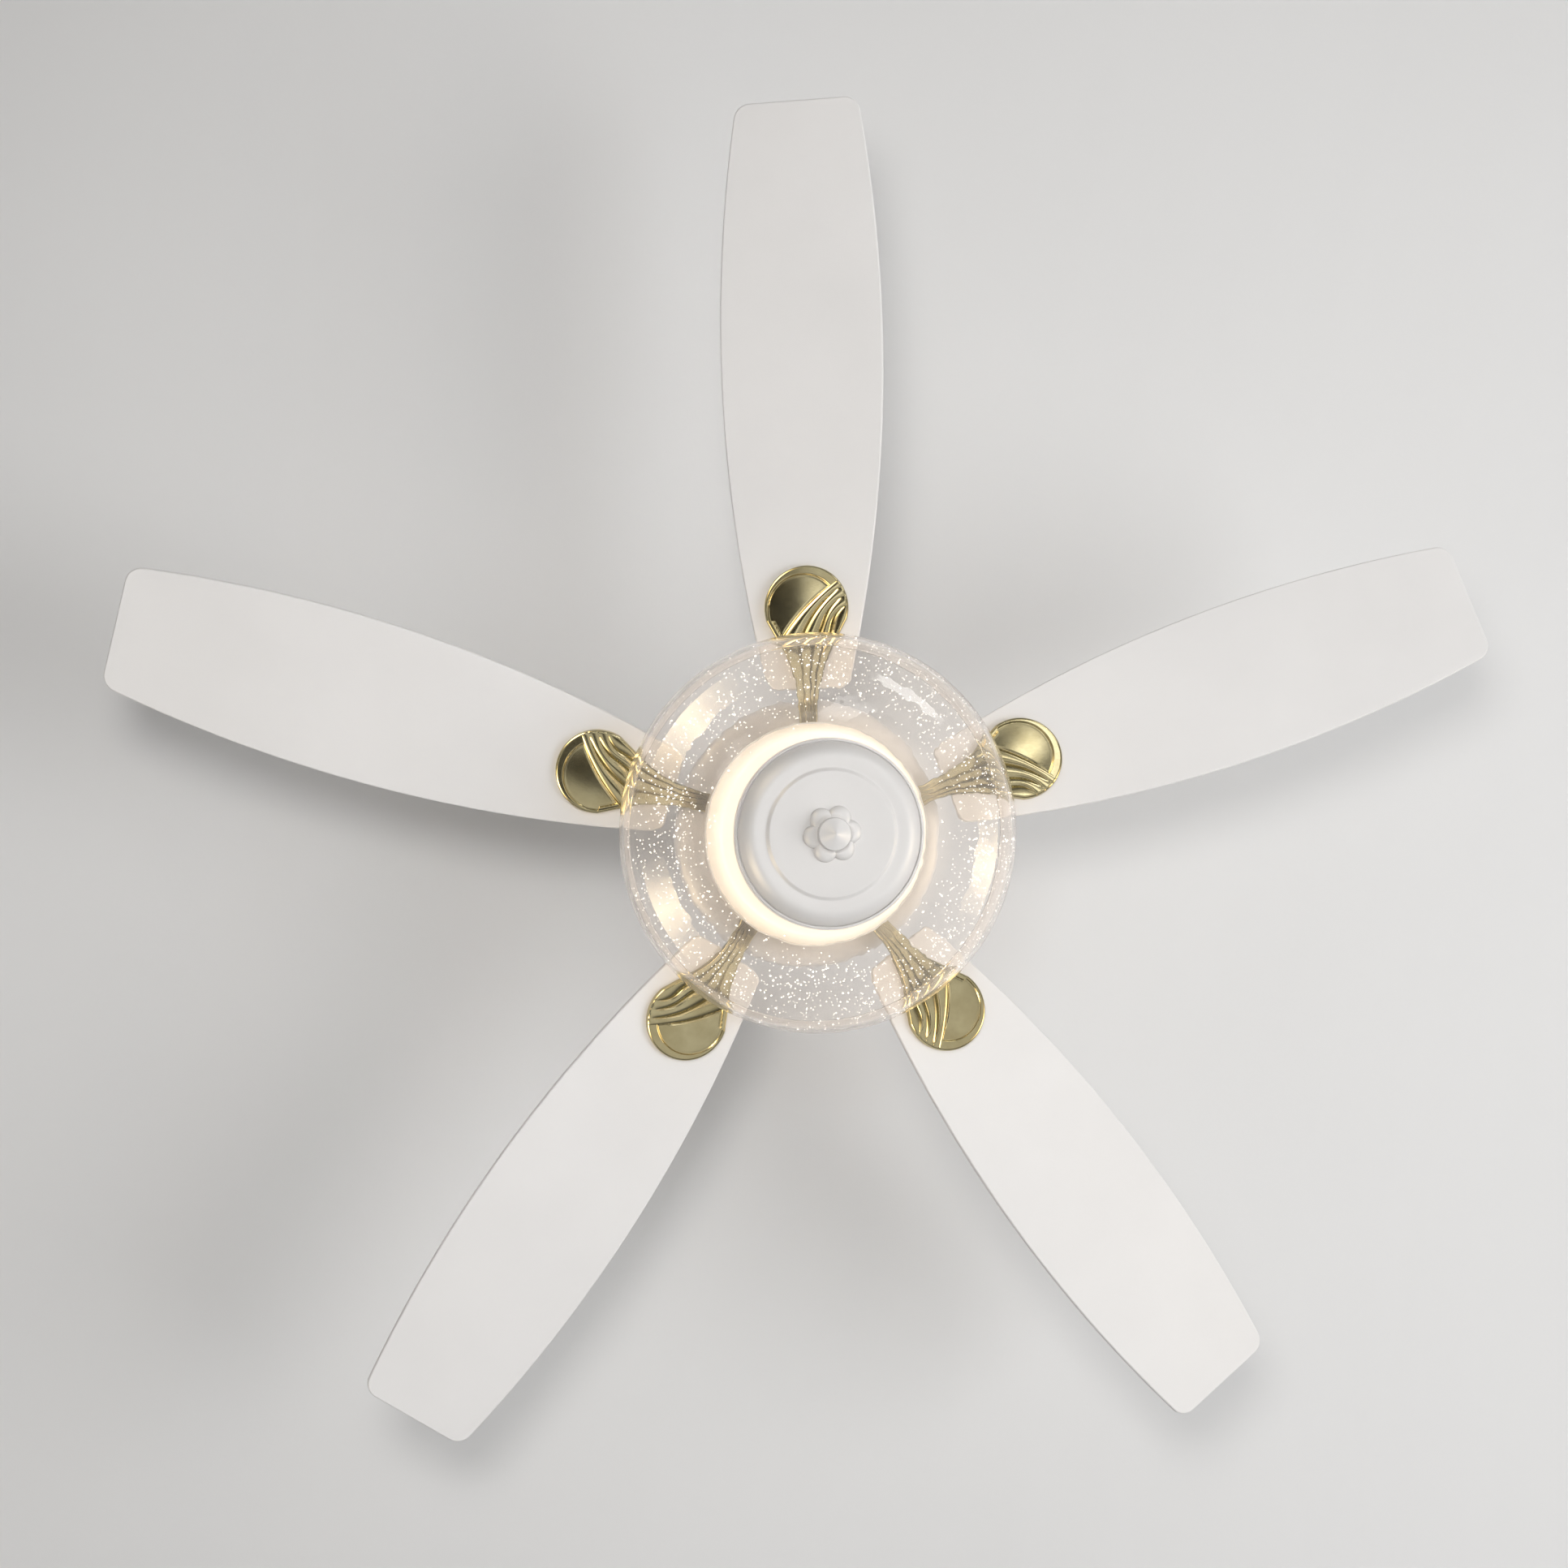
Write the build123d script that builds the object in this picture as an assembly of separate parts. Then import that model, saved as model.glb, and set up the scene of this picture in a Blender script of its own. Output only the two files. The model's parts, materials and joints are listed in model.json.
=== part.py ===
from build123d import *
import math
import os

# Five-blade ceiling fan with a glass-bowl light.
# Millimetres, +Z up, origin at the middle of the ceiling plane, everything hangs below it.

# Fits and gaps
FIT = 0.05                    # radial gap of a fixed fit
RUN_FIT = 0.05                # radial gap of a running fit
SWING_GAP = 0.3               # gap between the ball and its seat
FINIAL_GAP = 0.2              # gap between the finial and the cap

# Blades
BLADE_COUNT = 5
BLADE_START = 90.0            # direction of the first blade, degrees from +X
SPAN_RADIUS = 660.0           # axis to blade tip
BLADE_ROOT_RADIUS = 134.0     # axis to blade root
BLADE_WIDEST_RADIUS = 440.0   # axis to the widest place
BLADE_WIDTH = 148.0
BLADE_SIDE_ARC = 1290.0       # radius of both long edges
BLADE_THICKNESS = 6.0
BLADE_PITCH = 12.0            # degrees
BLADE_TIP_CORNER = 15.0
BLADE_ROOT_CORNER = 12.0
BLADE_EDGE_ROUND = 1.5

# Blade irons
IRON_PAD_RADIAL = 207.0       # axis to the middle of the round pad
IRON_PAD_RADIUS = 38.5
IRON_PLATE = 5.0
IRON_RIM_WIDTH = 4.5
IRON_RIM_HEIGHT = 1.6
IRON_EDGE_BEVEL = 1.0
IRON_PANEL_CORNER = (18.5, 21.5)   # outer corner of the sunk panel, from the pad middle, outward and across
IRON_PANEL_FOOT = (-25.5, -21.5)   # inner corner of the sunk panel
IRON_PANEL_BOW = 3.0
IRON_PANEL_DEPTH = 2.2
IRON_DOME_HEIGHT = 1.5             # rise of the panel's middle
IRON_SHOULDER_BACK = 11.0     # pad middle to the angled shoulders
IRON_NECK_BACK = 33.0         # pad middle to the neck, where the arm starts
IRON_NECK_WIDTH = 48.0
IRON_ARM_WIDTH = 21.0         # at the foot
IRON_FLUTE_HEIGHT = 1.8
IRON_VALLEYS = (-1.0, -0.33, 0.2, 0.62, 1.0)   # flute borders across the arm, as shares of its half width
IRON_GROOVE_TIPS = ((16.6, 28.6), (8.5, 31.2), (0.1, 32.6))   # pointed ends on the pad, from the pad middle
IRON_GROOVE_WIDTH = 4.8
IRON_GROOVE_DEPTH = 2.0
IRON_GROOVE_BOW = 3.6
IRON_DROP = 9.0               # foot to pad, along Z
IRON_ARM_RELIEF = 0.6         # arm below the blade
IRON_FOOT_INNER = 54.0        # axis to the inner end of the foot
IRON_FOOT_OUTER = 100.0       # axis to the outer end of the foot
IRON_SCREW_RADII = (65.0, 83.0)
IRON_SCREW_RADIUS = 2.5
IRON_SCREW_HEAD = (4.6, 2.8)  # radius and height
IRON_PAD_SHEET = 1.2          # fibre pad between foot and rotor
BLADE_SCREW_PLACES = ((9.0, 20.0), (9.0, -20.0), (-22.0, 0.0))
BLADE_SCREW_RADIUS = 2.0
BLADE_SCREW_DEPTH = 3.2       # into the iron
BLADE_SCREW_HEAD = (4.5, 2.6)
WASHER = (6.5, 1.2)           # radius and thickness

# Ceiling bracket and canopy
BRACKET_SHEET = 2.5
BRACKET_LENGTH = 120.0
BRACKET_WIDTH = 52.0
SLOT_SPACING = 88.9
SLOT_LENGTH = 16.0
SLOT_RADIUS = 2.6
BRACKET_LEG_WIDTH = 36.0
BRACKET_TAB = (24.0, 16.0)    # width and depth of the bent-down tabs
SEAT_HIGH = 4.0               # seat top below the ball centre
SEAT_LOW = 15.0               # seat bottom below the ball centre
SEAT_MOUTH_GAP = 1.5          # rod to the mouth of the seat
RECEIVER = (70.0, 44.0, 16.0)
BALL_RADIUS = 24.0
BALL_FLAT = 18.0              # flat top above the ball centre
BALL_HEADROOM = 8.0
BALL_LEG_GAP = 2.0
BALL_PIN_RADIUS = 3.0
BALL_PIN_RISE = 8.0
CANOPY_RADIUS = 68.0
CANOPY_SHEET = 1.2
CANOPY_SKIRT = 18.0           # straight part at the ceiling
CANOPY_BELOW_BALL = 33.0
CANOPY_MOUTH = 27.0
CANOPY_SCREW_RADIUS = 2.0
CANOPY_SCREW_HEAD = (4.2, 2.4)
CANOPY_SCREW_DROP = 10.5

# Downrod, coupling and cover
ROD_RADIUS = 10.5
ROD_BORE = 8.5
ROD_EXPOSED = 45.0
COVER_LEAD = 10.0             # cover top to coupling top
COVER_RADIUS = 50.0
COVER_NECK = 16.0
COVER_SHEET = 1.2
COVER_SKIRT = 10.0
COUPLING_RADIUS = 17.0
COUPLING_SOCKET = 32.0
COUPLING_SHAFT_HOLD = 22.0
COUPLING_FLANGE_RADIUS = 38.0
COUPLING_FLANGE = 5.0
COUPLING_PIN_RADIUS = 3.0
COUPLING_PIN_DROP = 14.0
COUPLING_PIN_HEAD = (5.0, 2.5)
COUPLING_PIN_TAIL = 8.0
CLIP_WIRE = 0.9
SET_SCREW_RADIUS = 2.5
SET_SCREW_DROP = 25.0
HOUSING_SCREW_RADIUS = 2.5
HOUSING_SCREW_CIRCLE = 29.0
HOUSING_SCREW_HEAD = (4.4, 2.6)
HOUSING_SCREWS = 4
WIRE_RADIUS = 2.2
WIRE_LEAN = 0.3               # wire to the bore that it leans on
WIRE_BEND = 4.0

# Motor housing and motor
HOUSING_RADIUS = 125.0
HOUSING_SHEET = 1.5
HOUSING_TOP_FLAT = 70.0
HOUSING_SHOULDER = 34.0
HOUSING_FOOT_IN = 28.5
HOUSING_FOOT_HIGH = 12.0
HOUSING_FOOT_GAP = 4.5        # housing foot above the rotor bottom
SHAFT_RADIUS = 8.5
SHAFT_BORE = 5.0
ROTOR_HEADROOM = 6.0
ROTOR_HEIGHT = 54.0
ROTOR_RADIUS = 88.0
ROTOR_WALL = 3.5
ROTOR_TOP_PLATE = 3.0
ROTOR_BOTTOM_PLATE = 4.0
ROTOR_FLANGE = 6.0
ROTOR_FLANGE_SHEET = 2.5
ROTOR_RING_WIDTH = 11.9
AIR_GAP = 0.6
CASE_SCREWS = 6
CASE_SCREW_RADIUS = 1.5
CASE_SCREW_HEAD = (2.6, 1.8)
BEARING_RADIUS = 20.0
BEARING_WIDTH = 12.0
BEARING_BALL = 3.4
BEARING_BALLS = 8
BEARING_RING = 3.3
BEARING_COLLAR = 4.0
STATOR_SLOTS = 12
STATOR_SLOT_WIDTH = 12.0
STATOR_SLOT_MOUTH = 4.0
STATOR_SLOT_INNER = 38.0
STATOR_TIP = 4.0
STATOR_END_GAP = 1.0
WINDING_GAP = 0.5
WINDING_OVERHANG = 8.0

# Light
LIGHT_GAP = 5.0               # iron screw heads to the light hub
HUB_RADIUS = 42.0
HUB_SHEET = 3.0
HUB_COLLAR_RADIUS = 12.5
HUB_COLLAR_GAP = 2.0
SHAFT_NUT = (24.0, 7.0)       # across flats and height
PAN_RADIUS = 102.3
PAN_SHEET = 1.2
PAN_LIP = 16.0
PAN_SCREWS = 3
PAN_SCREW_CIRCLE = 32.0
PAN_SCREW_RADIUS = 2.0
PAN_SCREW_HEAD = (3.8, 2.2)
DRIVER = (70.0, 38.0)
DRIVER_OFFSET = 18.0
LAMP_PLATE = 2.0
PLATE_SCREWS = 3
LAMP_BOARD = (20.0, 84.0, 1.6)   # inner radius, outer radius, thickness
LAMP_CHIP = (3.5, 2.8, 0.8)
LAMP_CHIP_CIRCLES = (40.0, 58.0, 76.0)
LAMP_CHIP_COUNTS = (18, 24, 36)
DIFFUSER_RADIUS = 100.8
DIFFUSER_FOOT_RADIUS = 92.0
DIFFUSER_HEIGHT = 32.0
DIFFUSER_WALL = 2.5
CENTRE_ROD_RADIUS = 5.0
CENTRE_NUT = (17.0, 4.0)
CENTRE_NUT_GAP = 1.5
BOWL_RADIUS = 181.5
BOWL_RIM_DROP = 25.0          # blade plane to the bowl rim
BOWL_RIM_IN = 6.0
BOWL_WIDEST_DROP = 19.0       # rim to the widest place
BOWL_DEPTH = 62.0             # widest place to the flat bottom
BOWL_WALL = 4.0
BOWL_FLAT = 85.0              # outer radius of the flat bottom
BOWL_HOLE = 74.0
GASKET = 1.5
GASKET_OVER = 1.4             # gasket past the cap
CAP_RADIUS = 83.2
CAP_SHEET = 1.5
CAP_DEPTH = 18.0
CAP_LIP = 3.0
CAP_BEAD = 2.0                # outer bead of the lip
CAP_GROOVE = (0.9, 1.8)       # width and depth of the groove inside the bead
CAP_SEAT = 74.0               # inner radius of the lip
CAP_RING_RADIUS = 55.0
CAP_STEP = 2.6
FINIAL_PETALS = 6
FINIAL_RADIUS = 25.8
FINIAL_PETAL_RADIUS = 10.3
FINIAL_PETAL_RISE = 6.8       # petal crown below the cap
FINIAL_PETAL_START = 54.0
FINIAL_PLATE = 6.0
FINIAL_DOME_RADIUS = 14.3
FINIAL_DOME_HEIGHT = 17.0
FINIAL_THREAD = 13.0

# Heights, chained from the ceiling down
ball_z = -(BRACKET_SHEET + RECEIVER[2] + BALL_HEADROOM + BALL_RADIUS)
canopy_bottom = ball_z - CANOPY_BELOW_BALL
cover_top = canopy_bottom - ROD_EXPOSED
coupling_top = cover_top - COVER_LEAD
rod_bottom = coupling_top - COUPLING_SOCKET
housing_top = rod_bottom - COUPLING_SHAFT_HOLD
rotor_top = housing_top - HOUSING_SHEET - ROTOR_HEADROOM
rotor_bottom = rotor_top - ROTOR_HEIGHT
rotor_split = (rotor_top + rotor_bottom) / 2
housing_bottom = rotor_bottom + HOUSING_FOOT_GAP
foot_top = rotor_bottom - IRON_PAD_SHEET
foot_bottom = foot_top - IRON_PLATE
blade_z = (foot_top + foot_bottom) / 2 - IRON_DROP + (IRON_PLATE + BLADE_THICKNESS) / 2
bearing_high = rotor_top - ROTOR_TOP_PLATE - BEARING_WIDTH
bearing_low = rotor_bottom + ROTOR_BOTTOM_PLATE
core_top = bearing_high - STATOR_END_GAP
core_bottom = bearing_low + BEARING_WIDTH + STATOR_END_GAP
hub_top = foot_bottom - IRON_SCREW_HEAD[1] - LIGHT_GAP
hub_bottom = hub_top - HUB_SHEET
pan_inside = hub_bottom - PAN_SHEET
shaft_end = pan_inside - SHAFT_NUT[1] - 1.5
wire_run = shaft_end - 0.5 - WIRE_BEND
centre_rod_top = wire_run - WIRE_RADIUS - CENTRE_NUT_GAP
plate_top = centre_rod_top - CENTRE_NUT[1]
plate_bottom = plate_top - LAMP_PLATE
board_bottom = plate_bottom - LAMP_BOARD[2]
driver_bottom = wire_run - WIRE_RADIUS - 1.0
diffuser_bottom = plate_bottom - DIFFUSER_HEIGHT
bowl_rim = blade_z - BOWL_RIM_DROP
bowl_widest = bowl_rim - BOWL_WIDEST_DROP
bowl_bottom = bowl_widest - BOWL_DEPTH
cap_top = bowl_bottom - GASKET
cap_bottom = cap_top - CAP_DEPTH
finial_top = cap_bottom - FINIAL_GAP

SEATED = (Align.CENTER, Align.CENTER, Align.MIN)
leg_inside = BALL_RADIUS + BALL_LEG_GAP
stator_radius = ROTOR_RADIUS - ROTOR_WALL - FIT - ROTOR_RING_WIDTH - AIR_GAP
race_radius = (SHAFT_RADIUS + FIT + BEARING_RADIUS) / 2


def disc(radius, low, high):
    return Pos(0, 0, low) * Cylinder(radius, high - low, align=SEATED)


def ring(outer, inner, low, high):
    return disc(outer, low, high) - disc(inner, low, high)


def turned(edges):
    """Solid of revolution about Z from edges drawn as radius and height."""
    return revolve(Plane.XZ * make_face(edges), Axis.Z)


def group(shapes):
    return Compound([solid for shape in shapes for solid in shape.solids()])


def spread(shape, count, start=0.0):
    return [Rot(0, 0, start + 360 / count * i) * shape for i in range(count)]


def pan_head(radius, head, shank):
    """Screw along -Z with its head above the origin plane."""
    dome = disc(head[0], 0, head[1])
    dome = fillet(dome.edges().group_by(Axis.Z)[-1], head[1] * 0.55)
    recess = Pos(0, 0, head[1]) * (Box(head[0], 0.9, 1.6) + Box(0.9, head[0], 1.6))
    return dome - recess + disc(radius, -shank, 0)


def hex_nut(across, bore, low, high):
    prism = Pos(0, 0, low) * extrude(RegularPolygon(across / 2, 6, major_radius=False), high - low)
    return prism - disc(bore, low, high)


def quarter(centre, wide, high, first):
    """Quarter ellipse of ninety degrees from the angle first, drawn as radius and height."""
    return EllipticalCenterArc(centre, wide, high, start_angle=first, arc_size=90)


# Ceiling side

def make_bracket():
    blank = RectangleRounded(BRACKET_LENGTH, BRACKET_WIDTH, 5)
    plate = Pos(0, 0, -BRACKET_SHEET) * extrude(blank, BRACKET_SHEET)
    seat_floor = ball_z - SEAT_LOW
    seat_high = SEAT_LOW - SEAT_HIGH
    width = 2 * (leg_inside + BRACKET_SHEET)
    seat = Pos(0, 0, seat_floor) * Box(BRACKET_LEG_WIDTH + 14, width, seat_high, align=SEATED)
    leg = Box(BRACKET_LEG_WIDTH, BRACKET_SHEET, -seat_floor, align=SEATED)
    tab_at = BRACKET_LENGTH / 2 - BRACKET_SHEET / 2
    tab = Box(BRACKET_SHEET, BRACKET_TAB[0], BRACKET_TAB[1] + BRACKET_SHEET, align=SEATED)
    body = plate + seat
    for side in (-1, 1):
        body += Pos(0, side * (leg_inside + BRACKET_SHEET / 2), seat_floor) * leg
        body += Pos(side * tab_at, 0, -BRACKET_TAB[1] - BRACKET_SHEET) * tab
    body -= Pos(0, 0, ball_z) * Sphere(BALL_RADIUS + SWING_GAP)
    mouth = 2 * (ROD_RADIUS + SEAT_MOUTH_GAP)
    open_side = Box(BRACKET_LENGTH, mouth, seat_high, align=(Align.MIN, Align.CENTER, Align.MIN))
    body -= Pos(0, 0, seat_floor) * open_side
    slot = extrude(SlotCenterToCenter(SLOT_LENGTH - 2 * SLOT_RADIUS, 2 * SLOT_RADIUS), -2 * BRACKET_SHEET)
    for side in (-1, 1):
        body -= Pos(side * SLOT_SPACING / 2, 0, BRACKET_SHEET / 2) * slot
    hole = Cylinder(CANOPY_SCREW_RADIUS + FIT, 2 * BRACKET_LENGTH)
    return body - Pos(0, 0, -CANOPY_SCREW_DROP) * Rot(0, 90, 0) * hole


def make_canopy():
    wide = CANOPY_RADIUS - CANOPY_MOUTH - 3
    high = -canopy_bottom - CANOPY_SKIRT
    mid = (CANOPY_MOUTH + 3, -CANOPY_SKIRT)
    inner_wide = wide - CANOPY_SHEET
    inner_high = high - CANOPY_SHEET
    inner = CANOPY_RADIUS - CANOPY_SHEET
    body = turned([
        Line((inner, 0), (CANOPY_RADIUS, 0)),
        Line((CANOPY_RADIUS, 0), (CANOPY_RADIUS, -CANOPY_SKIRT)),
        quarter(mid, wide, high, -90),
        Line((mid[0], canopy_bottom), (CANOPY_MOUTH, canopy_bottom)),
        Line((CANOPY_MOUTH, canopy_bottom), (CANOPY_MOUTH, canopy_bottom + CANOPY_SHEET)),
        Line((CANOPY_MOUTH, canopy_bottom + CANOPY_SHEET), (mid[0], canopy_bottom + CANOPY_SHEET)),
        quarter(mid, inner_wide, inner_high, -90),
        Line((inner, -CANOPY_SKIRT), (inner, 0)),
    ])
    hole = Cylinder(CANOPY_SCREW_RADIUS + 0.3, 3 * CANOPY_RADIUS)
    return body - Pos(0, 0, -CANOPY_SCREW_DROP) * Rot(0, 90, 0) * hole


def make_canopy_screws():
    reach = CANOPY_RADIUS - BRACKET_LENGTH / 2 + BRACKET_SHEET
    screw = pan_head(CANOPY_SCREW_RADIUS, CANOPY_SCREW_HEAD, reach)
    placed = Pos(CANOPY_RADIUS, 0, -CANOPY_SCREW_DROP) * Rot(0, 90, 0) * screw
    return group(spread(placed, 2))


def make_receiver():
    box = Pos(0, 0, -BRACKET_SHEET - RECEIVER[2]) * Box(*RECEIVER, align=SEATED)
    return fillet(box.edges().filter_by(Axis.Z), 4)


# Hanging parts

def make_ball():
    ball = Pos(0, 0, ball_z) * Sphere(BALL_RADIUS)
    ball -= Pos(0, 0, ball_z + BALL_FLAT) * Box(100, 100, BALL_RADIUS, align=SEATED)
    ball -= disc(ROD_RADIUS + FIT, ball_z - 2 * BALL_RADIUS, ball_z + BALL_RADIUS)
    pin = Cylinder(BALL_PIN_RADIUS + FIT, 4 * BALL_RADIUS)
    return ball - Pos(0, 0, ball_z + BALL_PIN_RISE) * Rot(0, 90, 0) * pin


def make_ball_pin():
    reach = 2 * math.sqrt(BALL_RADIUS ** 2 - BALL_PIN_RISE ** 2) - 5
    return Pos(0, 0, ball_z + BALL_PIN_RISE) * Rot(0, 90, 0) * Cylinder(BALL_PIN_RADIUS, reach)


def make_rod():
    rod = ring(ROD_RADIUS, ROD_BORE, rod_bottom, ball_z + BALL_FLAT)
    rod -= Pos(0, 0, ball_z + BALL_PIN_RISE) * Rot(0, 90, 0) * Cylinder(BALL_PIN_RADIUS + FIT, 60)
    pin_hole = Rot(0, 90, 0) * Cylinder(COUPLING_PIN_RADIUS + FIT, 60)
    return rod - Pos(0, 0, coupling_top - COUPLING_PIN_DROP) * pin_hole


def make_wires():
    in_rod = ROD_BORE - WIRE_RADIUS - WIRE_LEAN
    in_shaft = SHAFT_BORE - WIRE_RADIUS - WIRE_LEAN
    top = ball_z + BALL_FLAT + 4
    below_pin = coupling_top - COUPLING_PIN_DROP - COUPLING_PIN_RADIUS - 3
    path = FilletPolyline(
        (0, in_rod, top),
        (0, in_rod, below_pin),
        (0, in_shaft, rod_bottom + 1.5),
        (0, in_shaft, wire_run),
        (0, DRIVER_OFFSET, wire_run),
        radius=WIRE_BEND,
    )
    return sweep(Plane(path @ 0, z_dir=path % 0) * Circle(WIRE_RADIUS), path=path)


def make_coupling():
    body = disc(COUPLING_RADIUS, housing_top, coupling_top)
    body = fillet(body.edges().group_by(Axis.Z)[-1], 1.5)
    body += disc(COUPLING_FLANGE_RADIUS, housing_top, housing_top + COUPLING_FLANGE)
    body -= disc(ROD_RADIUS + FIT, rod_bottom, coupling_top + 1)
    body -= disc(SHAFT_RADIUS + FIT, housing_top - 1, rod_bottom + 1)
    pin_hole = Rot(0, 90, 0) * Cylinder(COUPLING_PIN_RADIUS + FIT, 60)
    body -= Pos(0, 0, coupling_top - COUPLING_PIN_DROP) * pin_hole
    body -= Pos(0, 0, coupling_top - SET_SCREW_DROP) * Rot(90, 0, 0) * Cylinder(SET_SCREW_RADIUS + FIT, 60)
    hole = disc(HOUSING_SCREW_RADIUS + FIT, housing_top - 1, housing_top + COUPLING_FLANGE + 1)
    for placed in spread(Pos(HOUSING_SCREW_CIRCLE, 0, 0) * hole, HOUSING_SCREWS, 45):
        body -= placed
    return body


def make_coupling_pin():
    shank = 2 * COUPLING_RADIUS + COUPLING_PIN_TAIL
    pin = disc(COUPLING_PIN_RADIUS, -shank, 0) + disc(COUPLING_PIN_HEAD[0], 0, COUPLING_PIN_HEAD[1])
    clip_at = -2 * COUPLING_RADIUS - COUPLING_PIN_TAIL / 2
    pin -= Pos(0, 0, clip_at) * Rot(90, 0, 0) * Cylinder(CLIP_WIRE + FIT, 40)
    return Pos(COUPLING_RADIUS, 0, coupling_top - COUPLING_PIN_DROP) * Rot(0, 90, 0) * pin


def make_coupling_clip():
    reach = COUPLING_PIN_RADIUS + 4
    bow = COUPLING_PIN_RADIUS + CLIP_WIRE + 1
    path = Line((0, reach, 0), (0, -reach, 0))
    path += ThreePointArc((0, -reach, 0), (0, -reach - bow / 2, bow / 2), (0, -reach, bow))
    path += Line((0, -reach, bow), (0, reach - 3, bow))
    clip = sweep(Plane((0, reach, 0), z_dir=(0, -1, 0)) * Circle(CLIP_WIRE), path=path)
    return Pos(-COUPLING_RADIUS - COUPLING_PIN_TAIL / 2, 0, coupling_top - COUPLING_PIN_DROP) * clip


def make_set_screws():
    length = COUPLING_RADIUS - ROD_RADIUS - 0.5
    socket = Pos(0, 0, length - 2.5) * extrude(RegularPolygon(1.25, 6), 2.5)
    screw = disc(SET_SCREW_RADIUS, 0, length) - socket
    placed = Pos(0, ROD_RADIUS, coupling_top - SET_SCREW_DROP) * Rot(-90, 0, 0) * screw
    return group(spread(placed, 2))


def make_cover():
    wide = COVER_RADIUS - COVER_NECK
    base = housing_top + COVER_SKIRT
    high = cover_top - base
    mid = (COVER_NECK, base)
    inner = COVER_RADIUS - COVER_SHEET
    neck = ROD_RADIUS + 0.4
    return turned([
        Line((neck, cover_top), (COVER_NECK, cover_top)),
        quarter(mid, wide, high, 0),
        Line((COVER_RADIUS, base), (COVER_RADIUS, housing_top)),
        Line((COVER_RADIUS, housing_top), (inner, housing_top)),
        Line((inner, housing_top), (inner, base)),
        quarter(mid, wide - COVER_SHEET, high - COVER_SHEET, 0),
        Line((COVER_NECK, cover_top - COVER_SHEET), (neck, cover_top - COVER_SHEET)),
        Line((neck, cover_top - COVER_SHEET), (neck, cover_top)),
    ])


def make_housing():
    wide = HOUSING_RADIUS - HOUSING_TOP_FLAT
    waist = housing_top - HOUSING_SHOULDER
    knee = housing_bottom + HOUSING_FOOT_HIGH
    foot = HOUSING_RADIUS - HOUSING_FOOT_IN
    inner = HOUSING_RADIUS - HOUSING_SHEET
    hole = SHAFT_RADIUS + 2
    under = housing_top - HOUSING_SHEET
    body = turned([
        Line((hole, housing_top), (HOUSING_TOP_FLAT, housing_top)),
        quarter((HOUSING_TOP_FLAT, waist), wide, HOUSING_SHOULDER, 0),
        Line((HOUSING_RADIUS, waist), (HOUSING_RADIUS, knee)),
        quarter((foot, knee), HOUSING_FOOT_IN, HOUSING_FOOT_HIGH, -90),
        Line((foot, housing_bottom), (foot, housing_bottom + HOUSING_SHEET)),
        quarter((foot, knee), HOUSING_FOOT_IN - HOUSING_SHEET, HOUSING_FOOT_HIGH - HOUSING_SHEET, -90),
        Line((inner, knee), (inner, waist)),
        quarter((HOUSING_TOP_FLAT, waist), wide - HOUSING_SHEET, HOUSING_SHOULDER - HOUSING_SHEET, 0),
        Line((HOUSING_TOP_FLAT, under), (hole, under)),
        Line((hole, under), (hole, housing_top)),
    ])
    bolt = disc(HOUSING_SCREW_RADIUS + FIT, under - 1, housing_top + 1)
    for placed in spread(Pos(HOUSING_SCREW_CIRCLE, 0, 0) * bolt, HOUSING_SCREWS, 45):
        body -= placed
    return body


def make_housing_screws():
    screw = pan_head(HOUSING_SCREW_RADIUS, HOUSING_SCREW_HEAD, COUPLING_FLANGE + HOUSING_SHEET + 1)
    placed = Pos(HOUSING_SCREW_CIRCLE, 0, housing_top + COUPLING_FLANGE) * screw
    return group(spread(placed, HOUSING_SCREWS, 45))


# Motor

def make_shaft():
    return ring(SHAFT_RADIUS, SHAFT_BORE, shaft_end, rod_bottom)


def make_stator_core():
    core = ring(stator_radius, SHAFT_RADIUS + FIT, core_bottom, core_top)
    high = core_top - core_bottom
    slot_outer = stator_radius - STATOR_TIP
    reach = slot_outer - STATOR_SLOT_INNER
    pocket = Box(reach, STATOR_SLOT_WIDTH, high, align=(Align.MIN, Align.CENTER, Align.MIN))
    mouth = Box(STATOR_TIP + 4, STATOR_SLOT_MOUTH, high, align=(Align.MIN, Align.CENTER, Align.MIN))
    cut = Pos(STATOR_SLOT_INNER, 0, core_bottom) * pocket + Pos(slot_outer - 2, 0, core_bottom) * mouth
    return core - spread(cut, STATOR_SLOTS)


def make_windings():
    inner = STATOR_SLOT_INNER + WINDING_GAP
    outer = stator_radius - STATOR_TIP - WINDING_GAP
    high = core_top - core_bottom + 2 * WINDING_GAP + 2
    width = STATOR_SLOT_WIDTH - 2 * WINDING_GAP
    bar = Box(outer - inner - 2, width, high, align=(Align.MIN, Align.CENTER, Align.MIN))
    bar = Pos(inner + 1, 0, core_bottom - WINDING_GAP - 1) * bar
    ends = ring(outer, inner, core_top + WINDING_GAP, core_top + WINDING_OVERHANG)
    ends += ring(outer, inner, core_bottom - WINDING_OVERHANG, core_bottom - WINDING_GAP)
    return ends + spread(bar, STATOR_SLOTS)


def race(low):
    return Pos(0, 0, low + BEARING_WIDTH / 2) * Torus(race_radius, BEARING_BALL + RUN_FIT)


def make_bearing_inner(low):
    return ring(SHAFT_RADIUS + FIT + BEARING_RING, SHAFT_RADIUS + FIT, low, low + BEARING_WIDTH) - race(low)


def make_bearing_outer(low):
    return ring(BEARING_RADIUS, BEARING_RADIUS - BEARING_RING, low, low + BEARING_WIDTH) - race(low)


def make_bearing_balls(low):
    ball = Pos(race_radius, 0, low + BEARING_WIDTH / 2) * Sphere(BEARING_BALL)
    return group(spread(ball, BEARING_BALLS))


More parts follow.
